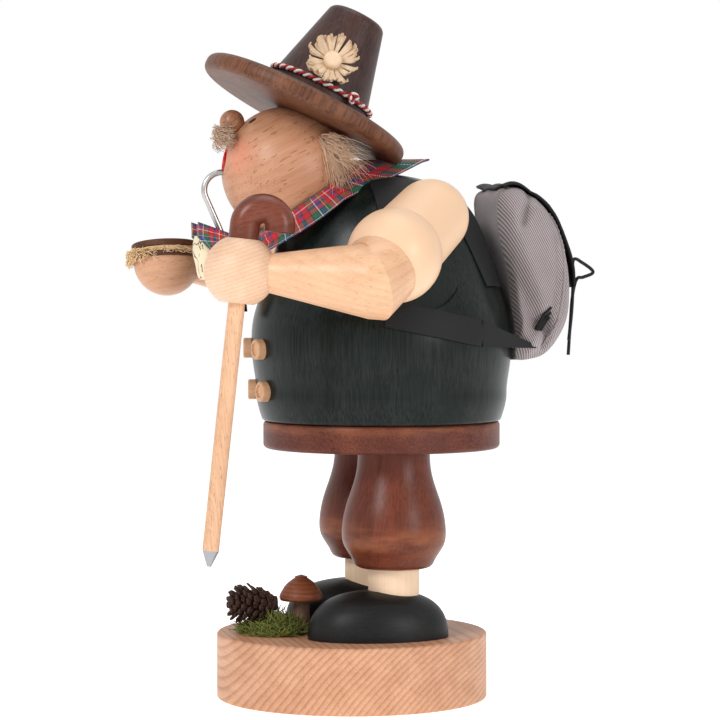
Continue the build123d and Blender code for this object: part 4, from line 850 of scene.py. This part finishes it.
def torso_radius(z):
    """Radius of the barrel at a height."""
    height_shares = (1.0, 0.981, 0.923, 0.839, 0.702, 0.522, 0.400, 0.330, 0.240, 0.133, 0.0)
    radius_shares = (0.0, 0.286, 0.549, 0.703, 0.813, 0.923, 0.990, 1.0, 0.990, 0.963, 0.915)
    h = (z - BELT_TOP) / TORSO_HEIGHT
    if h >= 1:
        return 0.0
    return TORSO_RADIUS * float(np.interp(h, height_shares[::-1], radius_shares[::-1]))


def off_torso(p, gap):
    """Push a point out of the barrel, away from its axis."""
    v = Vector((p.x, p.y - BACK, 0))
    need = torso_radius(p.z) + gap
    if 0 < v.length < need:
        v = v.normalized() * need
        return Vector((v.x, BACK + v.y, p.z))
    return p


outline = bag_side(110)
panel_shares = (0.03, 0.12, 0.2, 0.28, 0.35, 0.42, 0.48, 0.54, 0.59, 0.64, 0.69, 0.74, 0.78, 0.82, 0.86,
                0.895, 0.925, 0.95, 0.97)
panel_sides = [22.6 - 7.2 * max(0.0, (s - 0.45) / 0.52) ** 4.2 for s in panel_shares]
near = list(zip(panel_sides, panel_shares))
middle_stations = [(-12.5, 0.985), (-9, 0.995), (-5, 1.0), (0, 1.0), (5, 1.0), (9, 0.995), (12.5, 0.985)]
stations = [(-side, share) for side, share in near] + middle_stations + near[::-1]
verts, faces, uvs = [], [], []
count = len(outline)
for side, share in stations:
    for k, q in enumerate(outline):
        p = off_torso(bag_point(q, share, side), 1.5)
        verts.append(p)
        if share < 0.98:
            uvs.append((p.y / 40, p.z / 40))
        else:
            uvs.append((side / 40, p.z / 40))
for i in range(len(stations) - 1):
    for k in range(count):
        m = (k + 1) % count
        faces.append((i * count + k, i * count + m, (i + 1) * count + m, (i + 1) * count + k))
faces.append(tuple(reversed(range(count))))
faces.append(tuple(range((len(stations) - 1) * count, len(stations) * count)))
bag = mesh_object("rucksack_cloth", verts, faces, twill, uvs)
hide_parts("rucksack_bag")
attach(bag, "figure")


def panel_point(y, z, sign, lift):
    """Point on the bag's side panel above a place in its side plane."""
    v = Vector((0, y, z)) - BAG_MID
    angle = math.atan2(v.z, v.y)
    turns = [math.atan2(q.z - BAG_MID.z, q.y - BAG_MID.y) - angle for q in outline]
    turn_to = [abs((a + math.pi) % (2 * math.pi) - math.pi) for a in turns]
    q = outline[turn_to.index(min(turn_to))]
    share = min(0.97, v.length / (q - BAG_MID).length)
    side = float(np.interp(share, panel_shares, panel_sides))
    return off_torso(bag_point(q, share, sign * side) + Vector((sign * lift, 0, 0)), 1.5 + lift)


for sign, label in ((-1, "r"), (1, "l")):
    path = [panel_point(p.x, p.y, sign, 0.25) for p in smooth_line([(y, z, 0) for y, z in seam_line], 60)]
    seam = tubes("bag_seam_" + label, [path], 0.45, twill, sides=6, taper=1.0)
    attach(seam, "figure")
    stitches = []
    for k in range(2, 56, 3):
        a, b = path[k] + Vector((sign * 0.35, -1.2, 0)), path[k + 1] + Vector((sign * 0.35, -1.2, 0))
        stitches.append([a, (a + b) / 2 + Vector((sign * 0.12, 0, 0)), b])
    thread = tubes("bag_stitches_" + label, stitches, 0.14, thread_grey, sides=5)
    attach(thread, "figure")

for sign, label in ((-1, "r"), (1, "l")):
    loops = []
    for shift in (0.0, 1.1, 2.2):
        ends = ((49.0 + shift, 32.0), (52.5 + shift * 0.6, 37.0 - shift), (54.6, 39.5 - shift * 1.6))
        loops.append([panel_point(y, z, sign, 0.9 + 0.3 * shift) for y, z in ends])
    strap_fold = tubes("strap_fold_" + label, loops, 0.75, leather, sides=6, taper=0.6)
    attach(strap_fold, "figure")

# Flap of thin leather over the bag's top and back
top_first = max(range(count), key=lambda k: outline[k].z)
line = [outline[(top_first + 5 - k) % count] for k in range(36)]
grid = []
for i, q in enumerate(line):
    row = []
    for j in range(13):
        side = (j / 12 * 2 - 1) * FLAP_HALF
        p = bag_point(q, 1.0, side)
        mid = Vector((side, BACK + BAG_MID.y, BELT_TOP + BAG_MID.z))
        out = p - mid
        out.x = 0
        lift = 0.7 + 0.9 * max(0, i - 22) / 13 + 0.25 * math.sin(i * 0.5 + j)
        row.append(p + out.normalized() * lift)
    grid.append(row)
flap = sheet_mesh("flap_leather", grid, lambda s, t: (s, t), 0.9, leather)
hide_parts("rucksack_flap")
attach(flap, "figure")


# Straw of the roll, moss and dry cone

low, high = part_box("roll_filling")
roll_c = (low + high) / 2 * METRE
up = Vector((-math.sin(ROLL_TILT), 0, math.cos(ROLL_TILT))).normalized()
rx = Vector((0, 1, 0)).cross(up).normalized()
ry = up.cross(rx)
strands = []
for n in range(520):
    a = 2 * math.pi * rng.random()
    r = rng.uniform(8.5, 11.8)
    root = roll_c + rx * (r * math.cos(a)) + ry * (r * math.sin(a)) + up * rng.uniform(-0.7, 0.7)
    a2 = a + rng.uniform(-0.4, 0.4)
    r2 = rng.uniform(12.2, 14.2)
    end = roll_c + rx * (r2 * math.cos(a2)) + ry * (r2 * math.sin(a2)) + up * rng.uniform(-2.2, 0.7)
    mid = (root + end) / 2 + up * rng.uniform(-0.6, 0.6)
    strands.append(smooth_line([root, mid, end], 5))
for n in range(420):
    a = math.radians(rng.gauss(276, 24))
    root = roll_c + rx * (11 * math.cos(a)) + ry * (11 * math.sin(a)) + up * rng.uniform(-0.9, 0.9)
    a2 = a + rng.uniform(-0.35, 0.35)
    r2 = rng.uniform(12.6, 14.8)
    fall = rng.uniform(-5.2, 1.0)
    end = roll_c + rx * (r2 * math.cos(a2)) + ry * (r2 * math.sin(a2)) + up * fall
    mid = root.lerp(end, 0.6) + (end - roll_c).normalized() * rng.uniform(0.6, 1.6)
    strands.append(smooth_line([root, mid, end], 6))
fill = tubes("straw_fibres", strands, 0.2, straw, sides=4)
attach(fill, "figure")
dress(straw, "roll_straw", "roll_filling")

strands = []
moss_c = Vector((-2.0, -27.5, BASE_TOP))
for n in range(1900):
    a = 2 * math.pi * rng.random()
    r = math.sqrt(rng.random())
    x, y = 14.5 * r * math.cos(a), 11.5 * r * math.sin(a)
    h = 6.4 * (1 - r * r) * rng.random() + 0.3
    root = moss_c + Vector((x, y, h))
    d = Vector((rng.uniform(-1, 1), rng.uniform(-1, 1), rng.uniform(-0.15, 0.8))).normalized()
    s2 = Vector((rng.uniform(-1, 1), rng.uniform(-1, 1), rng.uniform(-0.6, 0.4))).normalized()
    length = rng.uniform(2.0, 5.2)
    end = root + d * length
    path = smooth_line([root, root + d * length * 0.5 + s2 * 0.6, end + s2 * 0.9], 5)
    ok = all(p.z > 23.0 for p in path)
    for sx in SHOE_SIDES:
        for p in path:
            if ((p.x - sx) / SHOE_HALF[0]) ** 2 + ((p.y - SHOE_BACK) / SHOE_HALF[1]) ** 2 < 1:
                ok = False
    if ok:
        strands.append(path)
moss = tubes("moss_fibres", strands, 0.24, moss_green, sides=3, taper=0.5)
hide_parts("moss")
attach(moss, "stand")
verts, faces = [], []
for i in range(7):
    t = i / 6
    for k in range(32):
        a = 2 * math.pi * k / 32
        r = math.cos(t * math.pi / 2) * (1 + 0.08 * math.sin(5 * a) + 0.05 * math.sin(11 * a + 3 * t))
        x, y = -2.0 + 12.6 * r * math.cos(a), -28.0 + 9.8 * r * math.sin(a)
        for sx in SHOE_SIDES:
            dx, dy = (x - sx) / SHOE_HALF[0], (y - SHOE_BACK) / SHOE_HALF[1]
            d = math.hypot(dx, dy)
            if d < 1.02:
                x, y = sx + dx / d * 1.02 * SHOE_HALF[0], SHOE_BACK + dy / d * 1.02 * SHOE_HALF[1]
        verts.append(Vector((x, y, 22.85 + 3.6 * math.sin(t * math.pi / 2))))
for i in range(6):
    for k in range(32):
        m = (k + 1) % 32
        faces.append((i * 32 + k, i * 32 + m, (i + 1) * 32 + m, (i + 1) * 32 + k))
faces.append(tuple(reversed(range(32))))
mound = mesh_object("moss_mound", verts, faces, moss_green)
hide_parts("moss")
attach(mound, "stand")

low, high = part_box("fir_cone")
cone_c = (low + high) / 2 * METRE
cone_half = (high.y - low.y) * METRE / 2
cone_r = (high.z - low.z) * METRE / 2
verts, faces = [], []


def scale_at(center, outd, along, side, length, width):
    """One thick scale: a curved leaf that opens outwards."""
    start = len(verts)
    rows = ((0, 0.35, 0.45), (0.5, 0.85, 0.75), (0.85, 1.0, 1.0), (1.0, 0.72, 0.9))
    for s, wide, thick in rows:
        c = center + outd * (length * s) - along * (length * 0.55 * s * s)
        for j in (-1, 0, 1):
            verts.append(c + side * (width * wide * j) - along * (0.35 * thick) + outd * (-0.5 * abs(j)))
        for j in (1, 0, -1):
            verts.append(c + side * (width * wide * j) + along * (0.35 * thick) + outd * (-0.5 * abs(j)))
    for i in range(3):
        for k in range(6):
            m = (k + 1) % 6
            row = start + i * 6
            faces.append((row + k, row + m, row + 6 + m, row + 6 + k))
    faces.append(tuple(start + k for k in reversed(range(6))))
    faces.append(tuple(start + 18 + k for k in range(6)))


total = 96
for n in range(total):
    s = (n + 0.5) / total
    y = -cone_half * 0.86 + 1.72 * cone_half * s
    swell = math.sqrt(max(0.05, 1 - (2 * s - 1) ** 2 * 0.8))
    a = n * 2.39996
    outd = Vector((math.cos(a), 0, math.sin(a)))
    along = Vector((0, 1, 0))
    side = outd.cross(along)
    outd2 = (outd + along * rng.uniform(-0.25, 0.05)).normalized()
    core = cone_r * 0.32 * swell
    scale_at(cone_c + Vector((0, y, 0)) + outd * core, outd2, along, side,
             (cone_r * swell - core) * rng.uniform(0.80, 0.97), 1.25)
cone = mesh_object("cone_scales", verts, faces, cone_brown, smooth=False)
core_path = [cone_c + Vector((0, -cone_half * 0.9 + 1.8 * cone_half * k / 8, 0)) for k in range(9)]
core = tubes("cone_core", [core_path], cone_r * 0.42, cone_brown, sides=12, taper=0.8)
for o in (cone, core):
    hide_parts("fir_cone")
    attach(o, "stand")


# Stage, light and camera

def stage_floor():
    """Round pale floor, 3 m in radius, that glows a little so that it shows nearly white."""
    bpy.ops.mesh.primitive_circle_add(vertices=96, radius=3.0, fill_type="NGON", location=(0, 0, 0))
    floor = bpy.context.object
    floor.name = "floor"
    p = Paint("floor", 1.0)
    p.color((0.96, 0.96, 0.96))
    p.out.inputs["Emission Color"].default_value = (1, 1, 1, 1)
    p.out.inputs["Emission Strength"].default_value = 0.68
    floor.data.materials.append(p.mat)


def area_light(name, place, size, power, target=(0, 0, 0.12)):
    data = bpy.data.lights.new(name, "AREA")
    data.shape = "DISK"
    data.size = size
    data.energy = power
    o = bpy.data.objects.new(name, data)
    bpy.context.scene.collection.objects.link(o)
    o.location = place
    o.rotation_euler = (Vector(target) - Vector(place)).to_track_quat("-Z", "Y").to_euler()


stage_floor()
area_light("key", (0.80, -1.05, 0.95), 0.55, 12)
area_light("side", (1.15, 0.75, 0.45), 0.55, 6)
area_light("top", (0.1, 0.1, 1.3), 0.9, 5)
world = bpy.data.worlds.new("world")
bpy.context.scene.world = world
world.use_nodes = True
tree = world.node_tree
background = tree.nodes["Background"]
background.inputs["Color"].default_value = (1, 1, 1, 1)
background.inputs["Strength"].default_value = 0.30
white = tree.nodes.new("ShaderNodeBackground")
white.inputs["Color"].default_value = (1, 1, 1, 1)
choose = tree.nodes.new("ShaderNodeMixShader")
ray = tree.nodes.new("ShaderNodeLightPath")
seen = tree.nodes.new("ShaderNodeMath")
seen.operation = "MAXIMUM"
tree.links.new(ray.outputs["Is Camera Ray"], seen.inputs[0])
tree.links.new(ray.outputs["Is Glossy Ray"], seen.inputs[1])
seen_through = tree.nodes.new("ShaderNodeMath")
seen_through.operation = "MAXIMUM"
tree.links.new(seen.outputs[0], seen_through.inputs[0])
tree.links.new(ray.outputs["Is Transmission Ray"], seen_through.inputs[1])
tree.links.new(seen_through.outputs[0], choose.inputs[0])
tree.links.new(background.outputs[0], choose.inputs[1])
tree.links.new(white.outputs[0], choose.inputs[2])
tree.links.new(choose.outputs[0], tree.nodes["World Output"].inputs["Surface"])

u = Vector((math.cos(PHOTO_TURN), math.sin(PHOTO_TURN), 0))
w = Vector((math.sin(PHOTO_TURN), -math.cos(PHOTO_TURN), 0))
eye = Vector((0, 0.0107, 0.1505)) + w * PHOTO_DISTANCE
yaw = math.atan(PHOTO_SHIFT / PHOTO_FOCAL)
pitch = math.atan(PHOTO_DROP / PHOTO_FOCAL)
flat = -w * math.cos(yaw) - u * math.sin(yaw)
look = flat * math.cos(pitch) - Vector((0, 0, math.sin(pitch)))
camera_data = bpy.data.cameras.new("camera")
camera_data.lens = SENSOR / 2 * PHOTO_FOCAL / PHOTO_HALF_WIDTH
camera_data.sensor_width = SENSOR
camera = bpy.data.objects.new("camera", camera_data)
bpy.context.scene.collection.objects.link(camera)
camera.location = eye
camera.rotation_euler = look.to_track_quat("-Z", "Y").to_euler()
bpy.context.scene.camera = camera
bpy.context.scene.view_settings.view_transform = "Standard"
